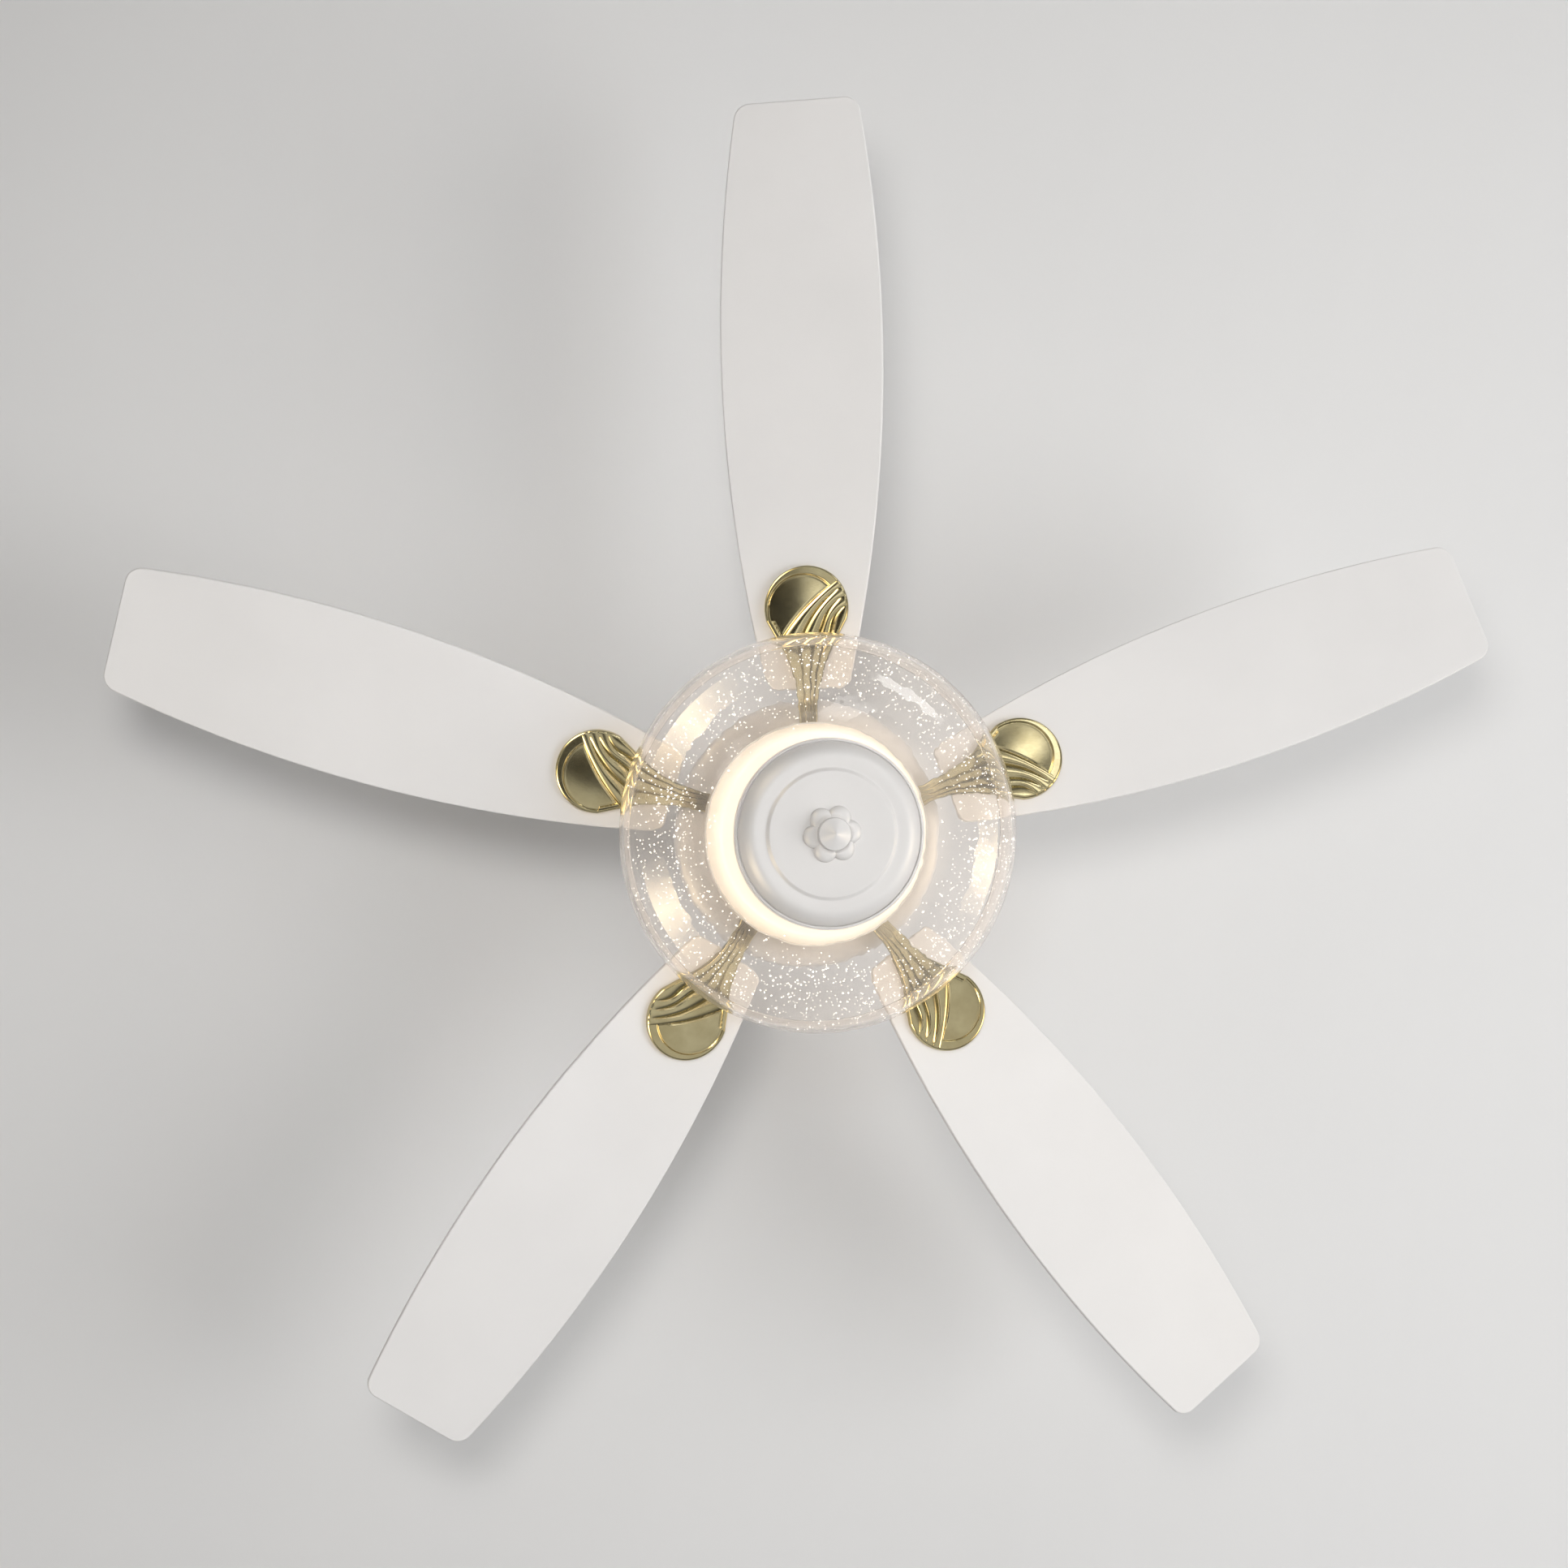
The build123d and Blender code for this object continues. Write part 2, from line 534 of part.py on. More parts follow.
def case_holes(low, high, radius):
    hole = Pos(ROTOR_RADIUS + ROTOR_FLANGE / 2, 0, 0) * disc(radius, low, high)
    return spread(hole, CASE_SCREWS, 30)


def make_upper_case():
    plate = rotor_top - ROTOR_TOP_PLATE
    eye = BEARING_RADIUS - BEARING_RING - 2
    body = ring(ROTOR_RADIUS, eye, plate, rotor_top)
    body += ring(BEARING_RADIUS + FIT + BEARING_COLLAR, BEARING_RADIUS + FIT, bearing_high, plate)
    body += ring(ROTOR_RADIUS, ROTOR_RADIUS - ROTOR_WALL, rotor_split, plate)
    flange = ROTOR_RADIUS + ROTOR_FLANGE
    body += ring(flange, ROTOR_RADIUS - ROTOR_WALL, rotor_split, rotor_split + ROTOR_FLANGE_SHEET)
    return body - case_holes(rotor_split - 1, rotor_split + ROTOR_FLANGE_SHEET + 1, CASE_SCREW_RADIUS + FIT)


def make_lower_case():
    plate = rotor_bottom + ROTOR_BOTTOM_PLATE
    eye = BEARING_RADIUS - BEARING_RING - 2
    body = ring(ROTOR_RADIUS, eye, rotor_bottom, plate)
    seat = BEARING_RADIUS + FIT
    body += ring(seat + BEARING_COLLAR, seat, plate, bearing_low + BEARING_WIDTH)
    body += ring(ROTOR_RADIUS, ROTOR_RADIUS - ROTOR_WALL, plate, rotor_split)
    flange = ROTOR_RADIUS + ROTOR_FLANGE
    body += ring(flange, ROTOR_RADIUS - ROTOR_WALL, rotor_split - ROTOR_FLANGE_SHEET, rotor_split)
    body -= case_holes(rotor_split - ROTOR_FLANGE_SHEET - 1, rotor_split + 1, CASE_SCREW_RADIUS + FIT)
    for radius in IRON_SCREW_RADII:
        hole = Pos(radius, 0, 0) * disc(IRON_SCREW_RADIUS + FIT, rotor_bottom - 1, plate + 1)
        body -= spread(hole, BLADE_COUNT, BLADE_START)
    return body


def make_rotor_ring():
    outer = ROTOR_RADIUS - ROTOR_WALL - FIT
    return ring(outer, outer - ROTOR_RING_WIDTH, core_bottom, core_top)


def make_case_screws():
    screw = pan_head(CASE_SCREW_RADIUS, CASE_SCREW_HEAD, 2 * ROTOR_FLANGE_SHEET)
    placed = Pos(ROTOR_RADIUS + ROTOR_FLANGE / 2, 0, rotor_split + ROTOR_FLANGE_SHEET) * screw
    return group(spread(placed, CASE_SCREWS, 30))


# Blades and irons, drawn along +X and turned to their place

def pitched(shape):
    """From the blade's own plane to its pitched place along +X: the +Y edge hangs lower."""
    return Pos(0, 0, blade_z) * Rot(-BLADE_PITCH, 0, 0) * shape


def screw_places():
    return [Pos(IRON_PAD_RADIAL + out, side, 0) for out, side in BLADE_SCREW_PLACES]


def make_blade():
    length = SPAN_RADIUS - BLADE_ROOT_RADIUS
    middle = (SPAN_RADIUS + BLADE_ROOT_RADIUS) / 2
    shift = BLADE_SIDE_ARC - BLADE_WIDTH / 2
    outline = Pos(middle, 0) * Rectangle(length, BLADE_WIDTH)
    for side in (-1, 1):
        outline &= Pos(BLADE_WIDEST_RADIUS, side * shift) * Circle(BLADE_SIDE_ARC)
    outline = fillet(outline.vertices().group_by(Axis.X)[-1], BLADE_TIP_CORNER)
    outline = fillet(outline.vertices().group_by(Axis.X)[0], BLADE_ROOT_CORNER)
    blade = extrude(outline, BLADE_THICKNESS / 2, both=True)
    flat = blade.edges().group_by(Axis.Z)
    blade = fillet(flat[0] + flat[-1], BLADE_EDGE_ROUND)
    hole = Cylinder(BLADE_SCREW_RADIUS + 0.4, 4 * BLADE_THICKNESS)
    for place in screw_places():
        blade -= place * hole
    return pitched(blade)


def iron_outline():
    shoulder = math.sqrt(IRON_PAD_RADIUS ** 2 - IRON_SHOULDER_BACK ** 2)
    neck = IRON_PAD_RADIAL - IRON_NECK_BACK
    taper = make_face(Polyline(
        (IRON_PAD_RADIAL, 0),
        (IRON_PAD_RADIAL - IRON_SHOULDER_BACK, shoulder),
        (neck, IRON_NECK_WIDTH / 2),
        (neck, -IRON_NECK_WIDTH / 2),
        (IRON_PAD_RADIAL - IRON_SHOULDER_BACK, -shoulder),
        close=True,
    ))
    return Pos(IRON_PAD_RADIAL, 0) * Circle(IRON_PAD_RADIUS) + taper


def arm_section(out):
    """Cross-section of the arm: flat on top, fluted below, level at the foot and pitched at the blade."""
    neck = IRON_PAD_RADIAL - IRON_NECK_BACK + 1
    along = (out - IRON_FOOT_OUTER) / (neck - IRON_FOOT_OUTER)
    climb = min(1.0, (out - IRON_FOOT_OUTER) / (BLADE_ROOT_RADIUS - 3 - IRON_FOOT_OUTER))
    ease = climb * climb * (3 - 2 * climb)
    width = IRON_ARM_WIDTH + (IRON_NECK_WIDTH - IRON_ARM_WIDTH) * along ** 2.2
    centre = blade_z + IRON_DROP * (1 - ease)
    turn = math.radians(-BLADE_PITCH * ease)
    across = Vector(0, math.cos(turn), math.sin(turn))
    plane = Plane((out, 0, centre), x_dir=across, z_dir=(1, 0, 0))
    low = -BLADE_THICKNESS / 2 - IRON_PLATE
    high = -BLADE_THICKNESS / 2 - IRON_ARM_RELIEF
    bump = IRON_FLUTE_HEIGHT * (0.4 + 0.6 * along)
    half = width / 2
    edges = Polyline((-half, low), (-half, high), (half, high), (half, low)).edges()
    for left, right in zip(IRON_VALLEYS, IRON_VALLEYS[1:]):
        top = (half * (left + right) / 2, low - bump)
        edges.append(ThreePointArc((half * left, low), top, (half * right, low)))
    return plane * make_face(edges)


def iron_panel(field):
    """Sunk part of the pad: the field up to one long arc."""
    (out_a, side_a), (out_b, side_b) = IRON_PANEL_CORNER, IRON_PANEL_FOOT
    chord = math.hypot(out_b - out_a, side_b - side_a)
    bend = (chord ** 2 / 4 + IRON_PANEL_BOW ** 2) / (2 * IRON_PANEL_BOW)
    away = (bend - IRON_PANEL_BOW) / chord
    out = IRON_PAD_RADIAL + (out_a + out_b) / 2 + (side_b - side_a) * away
    side = (side_a + side_b) / 2 - (out_b - out_a) * away
    return field - Pos(out, side) * Circle(bend)


def iron_grooves():
    """Pointed grooves that run from the pad border into the valleys of the arm."""
    neck = IRON_PAD_RADIAL - IRON_NECK_BACK - 1
    faces = []
    for (out, side), valley in zip(IRON_GROOVE_TIPS, IRON_VALLEYS[1:]):
        tip = (IRON_PAD_RADIAL + out, side)
        left = (neck, valley * IRON_NECK_WIDTH / 2 - IRON_GROOVE_WIDTH / 2)
        right = (neck, valley * IRON_NECK_WIDTH / 2 + IRON_GROOVE_WIDTH / 2)
        faces.append(make_face([
            SagittaArc(tip, left, IRON_GROOVE_BOW),
            Line(left, right),
            SagittaArc(right, tip, -IRON_GROOVE_BOW),
        ]))
    return faces


def make_iron():
    top = -BLADE_THICKNESS / 2
    low = top - IRON_PLATE
    outline = iron_outline()
    face = low - IRON_RIM_HEIGHT
    pad = Pos(0, 0, face) * extrude(outline, IRON_PLATE + IRON_RIM_HEIGHT)
    pad = chamfer(pad.edges().group_by(Axis.Z)[0], IRON_EDGE_BEVEL)
    panel = iron_panel(offset(outline, -IRON_RIM_WIDTH, kind=Kind.INTERSECTION))
    floor = face + IRON_PANEL_DEPTH
    pad -= Pos(0, 0, face) * extrude(panel, IRON_PANEL_DEPTH)
    bend = (IRON_PAD_RADIUS ** 2 + IRON_DOME_HEIGHT ** 2) / (2 * IRON_DOME_HEIGHT)
    dome = Pos(IRON_PAD_RADIAL, 0, floor - IRON_DOME_HEIGHT + bend) * Sphere(bend)
    pad += dome & Pos(0, 0, face) * extrude(panel, IRON_PANEL_DEPTH + 1)
    for groove in iron_grooves():
        pad -= Pos(0, 0, face) * extrude(groove, IRON_GROOVE_DEPTH)
    neck = IRON_PAD_RADIAL - IRON_NECK_BACK
    for place in screw_places():
        deep = BLADE_SCREW_DEPTH + 0.3
        hole = Cylinder(BLADE_SCREW_RADIUS + FIT, deep, align=(Align.CENTER, Align.CENTER, Align.MAX))
        pad -= Pos(0, 0, top) * place * hole
    climb = BLADE_ROOT_RADIUS - 3 - IRON_FOOT_OUTER
    level = neck + 1 - IRON_FOOT_OUTER - climb
    lower = [IRON_FOOT_OUTER + climb + level * k / 3 for k in range(4)]
    upper = [IRON_FOOT_OUTER + climb * k / 5 for k in range(6)]
    iron = pitched(pad)
    iron += loft([arm_section(out) for out in lower])
    iron += loft([arm_section(out) for out in upper])
    foot = IRON_FOOT_OUTER - IRON_FOOT_INNER
    plate = extrude(RectangleRounded(foot + 8, IRON_ARM_WIDTH, 4), IRON_PLATE)
    iron += Pos((IRON_FOOT_OUTER + IRON_FOOT_INNER) / 2 + 4, 0, foot_bottom) * plate
    for radius in IRON_SCREW_RADII:
        iron -= Pos(radius, 0, 0) * disc(IRON_SCREW_RADIUS + 0.3, foot_bottom - 1, foot_top + 1)
    return iron


def make_iron_pads():
    foot = IRON_FOOT_OUTER - IRON_FOOT_INNER
    reach = min(foot, ROTOR_RADIUS - IRON_FOOT_INNER)
    pad = extrude(RectangleRounded(reach, IRON_ARM_WIDTH, 3), IRON_PAD_SHEET)
    pad = Pos(IRON_FOOT_INNER + reach / 2, 0, foot_top) * pad
    for radius in IRON_SCREW_RADII:
        pad -= Pos(radius, 0, 0) * disc(IRON_SCREW_RADIUS + 0.3, foot_top - 1, rotor_bottom + 1)
    return group(spread(pad, BLADE_COUNT, BLADE_START))


def make_iron_screws():
    length = IRON_PLATE + IRON_PAD_SHEET + ROTOR_BOTTOM_PLATE - 0.3
    screw = Rot(180, 0, 0) * pan_head(IRON_SCREW_RADIUS, IRON_SCREW_HEAD, length)
    placed = [Pos(radius, 0, foot_bottom) * screw for radius in IRON_SCREW_RADII]
    return group([one for screw in placed for one in spread(screw, BLADE_COUNT, BLADE_START)])


def make_blade_screws():
    screw = pan_head(BLADE_SCREW_RADIUS, BLADE_SCREW_HEAD, WASHER[1] + BLADE_THICKNESS + BLADE_SCREW_DEPTH)
    lift = Pos(0, 0, BLADE_THICKNESS / 2 + WASHER[1])
    placed = [pitched(lift * place * screw) for place in screw_places()]
    return group([one for screw in placed for one in spread(screw, BLADE_COUNT, BLADE_START)])


def make_blade_washers():
    washer = ring(WASHER[0], BLADE_SCREW_RADIUS + 0.2, 0, WASHER[1])
    lift = Pos(0, 0, BLADE_THICKNESS / 2)
    placed = [pitched(lift * place * washer) for place in screw_places()]
    return group([one for washer in placed for one in spread(washer, BLADE_COUNT, BLADE_START)])


# Light

def make_hub():
    body = ring(HUB_RADIUS, SHAFT_RADIUS + FIT, hub_bottom, hub_top)
    body += ring(HUB_COLLAR_RADIUS, SHAFT_RADIUS + FIT, hub_top, rotor_bottom - HUB_COLLAR_GAP)
    hole = Pos(PAN_SCREW_CIRCLE, 0, 0) * disc(PAN_SCREW_RADIUS + FIT, hub_bottom - 1, hub_top + 1)
    return body - spread(hole, PAN_SCREWS, 30)


def make_pan():
    body = ring(PAN_RADIUS, SHAFT_RADIUS + FIT, pan_inside, hub_bottom)
    body = fillet(body.edges().group_by(Axis.Z)[-1].sort_by(SortBy.RADIUS)[-1], PAN_SHEET * 0.8)
    body += ring(PAN_RADIUS, PAN_RADIUS - PAN_SHEET, plate_top, pan_inside)
    body += ring(PAN_RADIUS, PAN_RADIUS - PAN_LIP, plate_top, plate_top + PAN_SHEET)
    hole = Pos(PAN_SCREW_CIRCLE, 0, 0) * disc(PAN_SCREW_RADIUS + FIT, pan_inside - 1, hub_bottom + 1)
    body -= spread(hole, PAN_SCREWS, 30)
    lip_hole = disc(PAN_SCREW_RADIUS + FIT, plate_top - 1, plate_top + 3)
    lip_hole = Pos(PAN_RADIUS - PAN_LIP / 2 - 2, 0, 0) * lip_hole
    return body - spread(lip_hole, PLATE_SCREWS, 90)


def make_pan_screws():
    screw = pan_head(PAN_SCREW_RADIUS, PAN_SCREW_HEAD, HUB_SHEET + PAN_SHEET + 2)
    return group(spread(Pos(PAN_SCREW_CIRCLE, 0, hub_top) * screw, PAN_SCREWS, 30))


def make_driver():
    high = pan_inside - driver_bottom
    box = Pos(0, DRIVER_OFFSET + DRIVER[1] / 2, driver_bottom) * Box(DRIVER[0], DRIVER[1], high, align=SEATED)
    return fillet(box.edges().filter_by(Axis.Z), 3)


def make_lamp_plate():
    body = ring(PAN_RADIUS, CENTRE_ROD_RADIUS + FIT, plate_bottom, plate_top)
    hole = disc(PAN_SCREW_RADIUS + FIT, plate_bottom - 1, plate_top + 1)
    hole = Pos(PAN_RADIUS - PAN_LIP / 2 - 2, 0, 0) * hole
    return body - spread(hole, PLATE_SCREWS, 90)


def make_plate_screws():
    screw = Rot(180, 0, 0) * pan_head(PAN_SCREW_RADIUS, PAN_SCREW_HEAD, LAMP_PLATE + PAN_SHEET + 2)
    return group(spread(Pos(PAN_RADIUS - PAN_LIP / 2 - 2, 0, plate_bottom) * screw, PLATE_SCREWS, 90))


def make_board():
    return ring(LAMP_BOARD[1], LAMP_BOARD[0], board_bottom, plate_bottom)


def make_chips():
    chip = Box(*LAMP_CHIP, align=(Align.CENTER, Align.CENTER, Align.MAX))
    chips = []
    for radius, count in zip(LAMP_CHIP_CIRCLES, LAMP_CHIP_COUNTS):
        chips += spread(Pos(radius, 0, board_bottom) * chip, count)
    return group(chips)


def make_diffuser():
    inner = DIFFUSER_RADIUS - DIFFUSER_WALL
    foot = DIFFUSER_FOOT_RADIUS - DIFFUSER_WALL
    floor = diffuser_bottom + DIFFUSER_WALL
    hole = CENTRE_ROD_RADIUS + 0.3
    body = turned(Polyline(
        (DIFFUSER_RADIUS, plate_bottom),
        (DIFFUSER_FOOT_RADIUS, diffuser_bottom),
        (hole, diffuser_bottom),
        (hole, floor),
        (foot, floor),
        (inner, plate_bottom),
        close=True,
    ).edges())
    low = body.edges().filter_by(GeomType.CIRCLE).group_by(Axis.Z)[0].sort_by(SortBy.RADIUS)[-1]
    return fillet(low, DIFFUSER_WALL * 1.6)


def make_centre_rod():
    return disc(CENTRE_ROD_RADIUS, finial_top - FINIAL_THREAD + 0.5, centre_rod_top)


def make_centre_nuts():
    above = hex_nut(CENTRE_NUT[0], CENTRE_ROD_RADIUS + FIT, plate_top, plate_top + CENTRE_NUT[1])
    below = hex_nut(CENTRE_NUT[0], CENTRE_ROD_RADIUS + FIT, plate_bottom - CENTRE_NUT[1], plate_bottom)
    return group([above, below])


def make_shaft_nut():
    return hex_nut(SHAFT_NUT[0], SHAFT_RADIUS + FIT, pan_inside - SHAFT_NUT[1], pan_inside)


def make_bowl():
    wide = BOWL_RADIUS - BOWL_FLAT
    mid = (BOWL_FLAT, bowl_widest)
    rim = BOWL_RADIUS - BOWL_RIM_IN
    half_up = (bowl_rim + bowl_widest) / 2
    bulge = BOWL_RIM_IN * 0.25
    inner = BOWL_RADIUS - BOWL_WALL
    floor = bowl_bottom + BOWL_WALL
    body = turned([
        Line((BOWL_HOLE, bowl_bottom), (BOWL_FLAT, bowl_bottom)),
        quarter(mid, wide, BOWL_DEPTH, -90),
        ThreePointArc((BOWL_RADIUS, bowl_widest), (BOWL_RADIUS - bulge, half_up), (rim, bowl_rim)),
        Line((rim, bowl_rim), (rim - BOWL_WALL, bowl_rim)),
        ThreePointArc((rim - BOWL_WALL, bowl_rim), (inner - bulge, half_up), (inner, bowl_widest)),
        quarter(mid, wide - BOWL_WALL, BOWL_DEPTH - BOWL_WALL, -90),
        Line((BOWL_FLAT, floor), (BOWL_HOLE, floor)),
        Line((BOWL_HOLE, floor), (BOWL_HOLE, bowl_bottom)),
    ])
    top = body.edges().filter_by(GeomType.CIRCLE).group_by(Axis.Z)[-1]
    return fillet(top, BOWL_WALL * 0.4)


def make_gasket():
    return ring(CAP_RADIUS + GASKET_OVER, BOWL_HOLE + 1, cap_top, bowl_bottom)


def make_cap():
    """Pressed dish: rolled lip, cove, embossed ring and a flat middle."""
    lip = cap_top - CAP_LIP
    ledge = cap_bottom + CAP_STEP
    ring_out = CAP_RING_RADIUS + 1.6
    hole = CENTRE_ROD_RADIUS + 0.3
    bead = CAP_RADIUS - CAP_BEAD
    dish = bead - CAP_GROOVE[0]
    deep = lip + CAP_GROOVE[1]
    slope = ((dish + ring_out) / 2 + 3, lip + (ledge - lip) * 0.66)
    up = CAP_SHEET
    under = Polyline(
        (CAP_RADIUS, cap_top),
        (CAP_RADIUS, lip),
        (bead, lip),
        (bead, deep),
        (dish, deep),
        (dish, lip - 0.8),
    )
    arc = ThreePointArc((dish, lip - 0.8), slope, (ring_out, ledge))
    middle = Polyline(
        (ring_out, ledge),
        (CAP_RING_RADIUS, cap_bottom),
        (hole, cap_bottom),
        (hole, cap_bottom + up),
        (CAP_RING_RADIUS - 0.6, cap_bottom + up),
        (ring_out - 0.6, ledge + up),
    )
    inner_arc = ThreePointArc((ring_out - 0.6, ledge + up), (slope[0] - 1.4, slope[1] + up), (CAP_SEAT, lip))
    over = Polyline((CAP_SEAT, lip), (CAP_SEAT, cap_top), (CAP_RADIUS, cap_top))
    return turned(under.edges() + [arc] + middle.edges() + [inner_arc] + over.edges())


# Hand nut below the cap

def make_finial():
    plate_low = finial_top - FINIAL_PLATE
    pitch = FINIAL_RADIUS - FINIAL_PETAL_RADIUS
    hole = CENTRE_ROD_RADIUS + RUN_FIT
    hole_end = finial_top - FINIAL_THREAD
    bend = (FINIAL_PETAL_RADIUS ** 2 + FINIAL_PETAL_RISE ** 2) / (2 * FINIAL_PETAL_RISE)
    petal = Pos(pitch, 0, finial_top - FINIAL_PETAL_RISE + bend) * Sphere(bend)
    body = disc(pitch, plate_low, finial_top)
    body += spread(petal, FINIAL_PETALS, FINIAL_PETAL_START)
    body &= ring(2 * FINIAL_RADIUS, FINIAL_DOME_RADIUS - 2, finial_top - 60, finial_top)
    shoulder = plate_low - 2
    tip = plate_low - FINIAL_DOME_HEIGHT
    dome = turned([
        Line((hole, finial_top), (FINIAL_DOME_RADIUS, finial_top)),
        Line((FINIAL_DOME_RADIUS, finial_top), (FINIAL_DOME_RADIUS, shoulder)),
        Bezier(
            (FINIAL_DOME_RADIUS, shoulder),
            (FINIAL_DOME_RADIUS, shoulder + (tip - shoulder) * 0.58),
            (FINIAL_DOME_RADIUS * 0.5, tip + (shoulder - tip) * 0.1),
            (0, tip),
        ),
        Line((0, tip), (0, hole_end)),
        Line((0, hole_end), (hole, hole_end)),
        Line((hole, hole_end), (hole, finial_top)),
    ])
    return body + dome


pieces = {
    "ceiling_bracket": make_bracket(),
    "canopy": make_canopy(),
    "canopy_screws": make_canopy_screws(),
    "remote_receiver": make_receiver(),
    "hanger_ball": make_ball(),
    "ball_pin": make_ball_pin(),
    "downrod": make_rod(),
    "lead_wires": make_wires(),
    "coupling": make_coupling(),
    "coupling_pin": make_coupling_pin(),
    "coupling_clip": make_coupling_clip(),
    "coupling_set_screws": make_set_screws(),
    "coupling_cover": make_cover(),
    "motor_housing": make_housing(),
    "housing_screws": make_housing_screws(),
    "motor_shaft": make_shaft(),
    "stator_core": make_stator_core(),
    "stator_windings": make_windings(),
    "upper_bearing_inner": make_bearing_inner(bearing_high),
    "lower_bearing_inner": make_bearing_inner(bearing_low),
    "upper_bearing_outer": make_bearing_outer(bearing_high),
    "lower_bearing_outer": make_bearing_outer(bearing_low),
    "upper_bearing_balls": make_bearing_balls(bearing_high),
    "lower_bearing_balls": make_bearing_balls(bearing_low),
    "rotor_upper_case": make_upper_case(),
    "rotor_lower_case": make_lower_case(),
    "rotor_ring": make_rotor_ring(),
    "case_screws": make_case_screws(),
    "iron_pads": make_iron_pads(),
    "iron_screws": make_iron_screws(),
    "blade_screws": make_blade_screws(),
    "blade_washers": make_blade_washers(),
    "light_hub": make_hub(),
    "shaft_nut": make_shaft_nut(),
    "light_pan": make_pan(),
    "pan_screws": make_pan_screws(),
    "lamp_driver": make_driver(),
    "lamp_plate": make_lamp_plate(),
    "plate_screws": make_plate_screws(),
    "lamp_board": make_board(),
    "lamp_chips": make_chips(),
    "diffuser": make_diffuser(),
    "centre_rod": make_centre_rod(),
    "centre_rod_nuts": make_centre_nuts(),
    "glass_bowl": make_bowl(),
    "bowl_gasket": make_gasket(),
    "bowl_cap": make_cap(),
    "flower_finial": make_finial(),
}

iron = make_iron()
blade = make_blade()
for i, turn in enumerate(spread(iron, BLADE_COUNT, BLADE_START), 1):
    pieces[f"blade_iron_{i}"] = turn
for i, turn in enumerate(spread(blade, BLADE_COUNT, BLADE_START), 1):
    pieces[f"blade_{i}"] = turn

os.makedirs("parts", exist_ok=True)
for name, shape in pieces.items():
    export_step(shape, f"parts/{name}.step")
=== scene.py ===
import json
import math
import random

import bpy
import numpy as np
from bpy.props import FloatProperty, FloatVectorProperty, IntProperty, PointerProperty
from mathutils import Euler, Matrix, Vector


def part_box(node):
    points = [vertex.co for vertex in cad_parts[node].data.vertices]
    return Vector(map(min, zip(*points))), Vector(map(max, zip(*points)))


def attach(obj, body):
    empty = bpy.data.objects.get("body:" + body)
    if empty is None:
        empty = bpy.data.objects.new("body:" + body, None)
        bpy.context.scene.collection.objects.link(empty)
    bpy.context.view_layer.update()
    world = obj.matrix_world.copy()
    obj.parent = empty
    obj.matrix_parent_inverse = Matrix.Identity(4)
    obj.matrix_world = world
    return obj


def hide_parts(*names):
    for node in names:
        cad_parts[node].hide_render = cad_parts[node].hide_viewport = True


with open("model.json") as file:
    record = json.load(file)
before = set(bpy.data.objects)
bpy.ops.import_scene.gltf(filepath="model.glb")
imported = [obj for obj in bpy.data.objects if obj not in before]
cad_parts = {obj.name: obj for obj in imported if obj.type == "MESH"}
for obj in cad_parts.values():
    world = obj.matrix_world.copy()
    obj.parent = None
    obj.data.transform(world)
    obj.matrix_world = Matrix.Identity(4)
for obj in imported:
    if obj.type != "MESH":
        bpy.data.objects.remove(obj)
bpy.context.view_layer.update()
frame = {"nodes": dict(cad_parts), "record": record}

bl_info = {
    "name": "Ceiling fan with glass bowl light",
    "version": (1, 0, 0),
    "blender": (4, 5, 0),
    "location": "View3D > Sidebar > Ceiling fan",
    "description": "Fluted brass irons, seeded glass bowl, finishes and ceiling stage for the packed fan",
    "category": "Object",
}

MM = 0.001
BLADES = 5
FIRST_BLADE = 90.0
BLADE_STEP = 360.0 / BLADES
BLADE_Z = -261.2
BLADE_THICKNESS = 6.0
BLADE_PITCH = 12.0
IRON_DROP = 9.0
IRON_CLIMB = (100.0, 131.0)
MERGE_GAP = 0.00001


def colour(label, note, default):
    return FloatVectorProperty(
        name=label, description=note, subtype="COLOR", size=3, min=0, max=1, default=default)


def length(label, note, default):
    return FloatProperty(name=label, description=note, default=default)


class FanIronSettings(bpy.types.PropertyGroup):
    rows: IntProperty(name="Rows", description="Mesh rows from foot to pad end", default=400)
    columns: IntProperty(name="Columns", description="Mesh columns across the iron", default=190)
    pad_out: length("Pad middle", "Axis to the middle of the round pad, mm", 207.0)
    pad_radius: length("Pad radius", "Radius of the round pad, mm", 38.5)
    plate: length("Plate", "Thickness without the relief, mm", 5.0)
    rim_height: length("Rim height", "Rim above the plate, mm", 1.6)
    rim_round: length("Rim round", "Rounding of the outer edge, mm", 2.4)
    panel_step: length("Panel step", "Drop from the rim to the panel, mm", 1.1)
    panel_dome: length("Panel dome", "Rise of the panel's middle, mm", 1.3)
    groove_depth: length("Groove depth", "Depth of the fluting on the pad, mm", 2.9)
    brass_light: colour("Brass light", "Lighter tone of the satin brass", (0.585, 0.52, 0.315))
    brass_deep: colour("Brass deep", "Deeper tone of the satin brass", (0.455, 0.39, 0.215))


class FanGlassSettings(bpy.types.PropertyGroup):
    steps: IntProperty(name="Steps", description="Segments round the bowl", default=288)
    radius: length("Radius", "Outside radius at the widest place, mm", 181.5)
    depth: length("Depth", "Bottom to the widest place, mm", 62.0)
    flat: length("Flat", "Radius of the flat bottom, mm", 85.0)
    hole: length("Hole", "Radius of the hole for the cap, mm", 74.0)
    wall: length("Wall", "Thickness of the glass, mm", 4.0)
    rim_in: length("Rim in", "How far the rim leans in, mm", 6.0)
    wave: length("Wave", "Height of the waves on the inside, mm", 0.25)
    seeds: IntProperty(name="Seeds", description="Number of bubbles in the glass", default=2600)
    tint: colour("Tint", "Colour of the clear glass", (1.0, 0.968, 0.942))


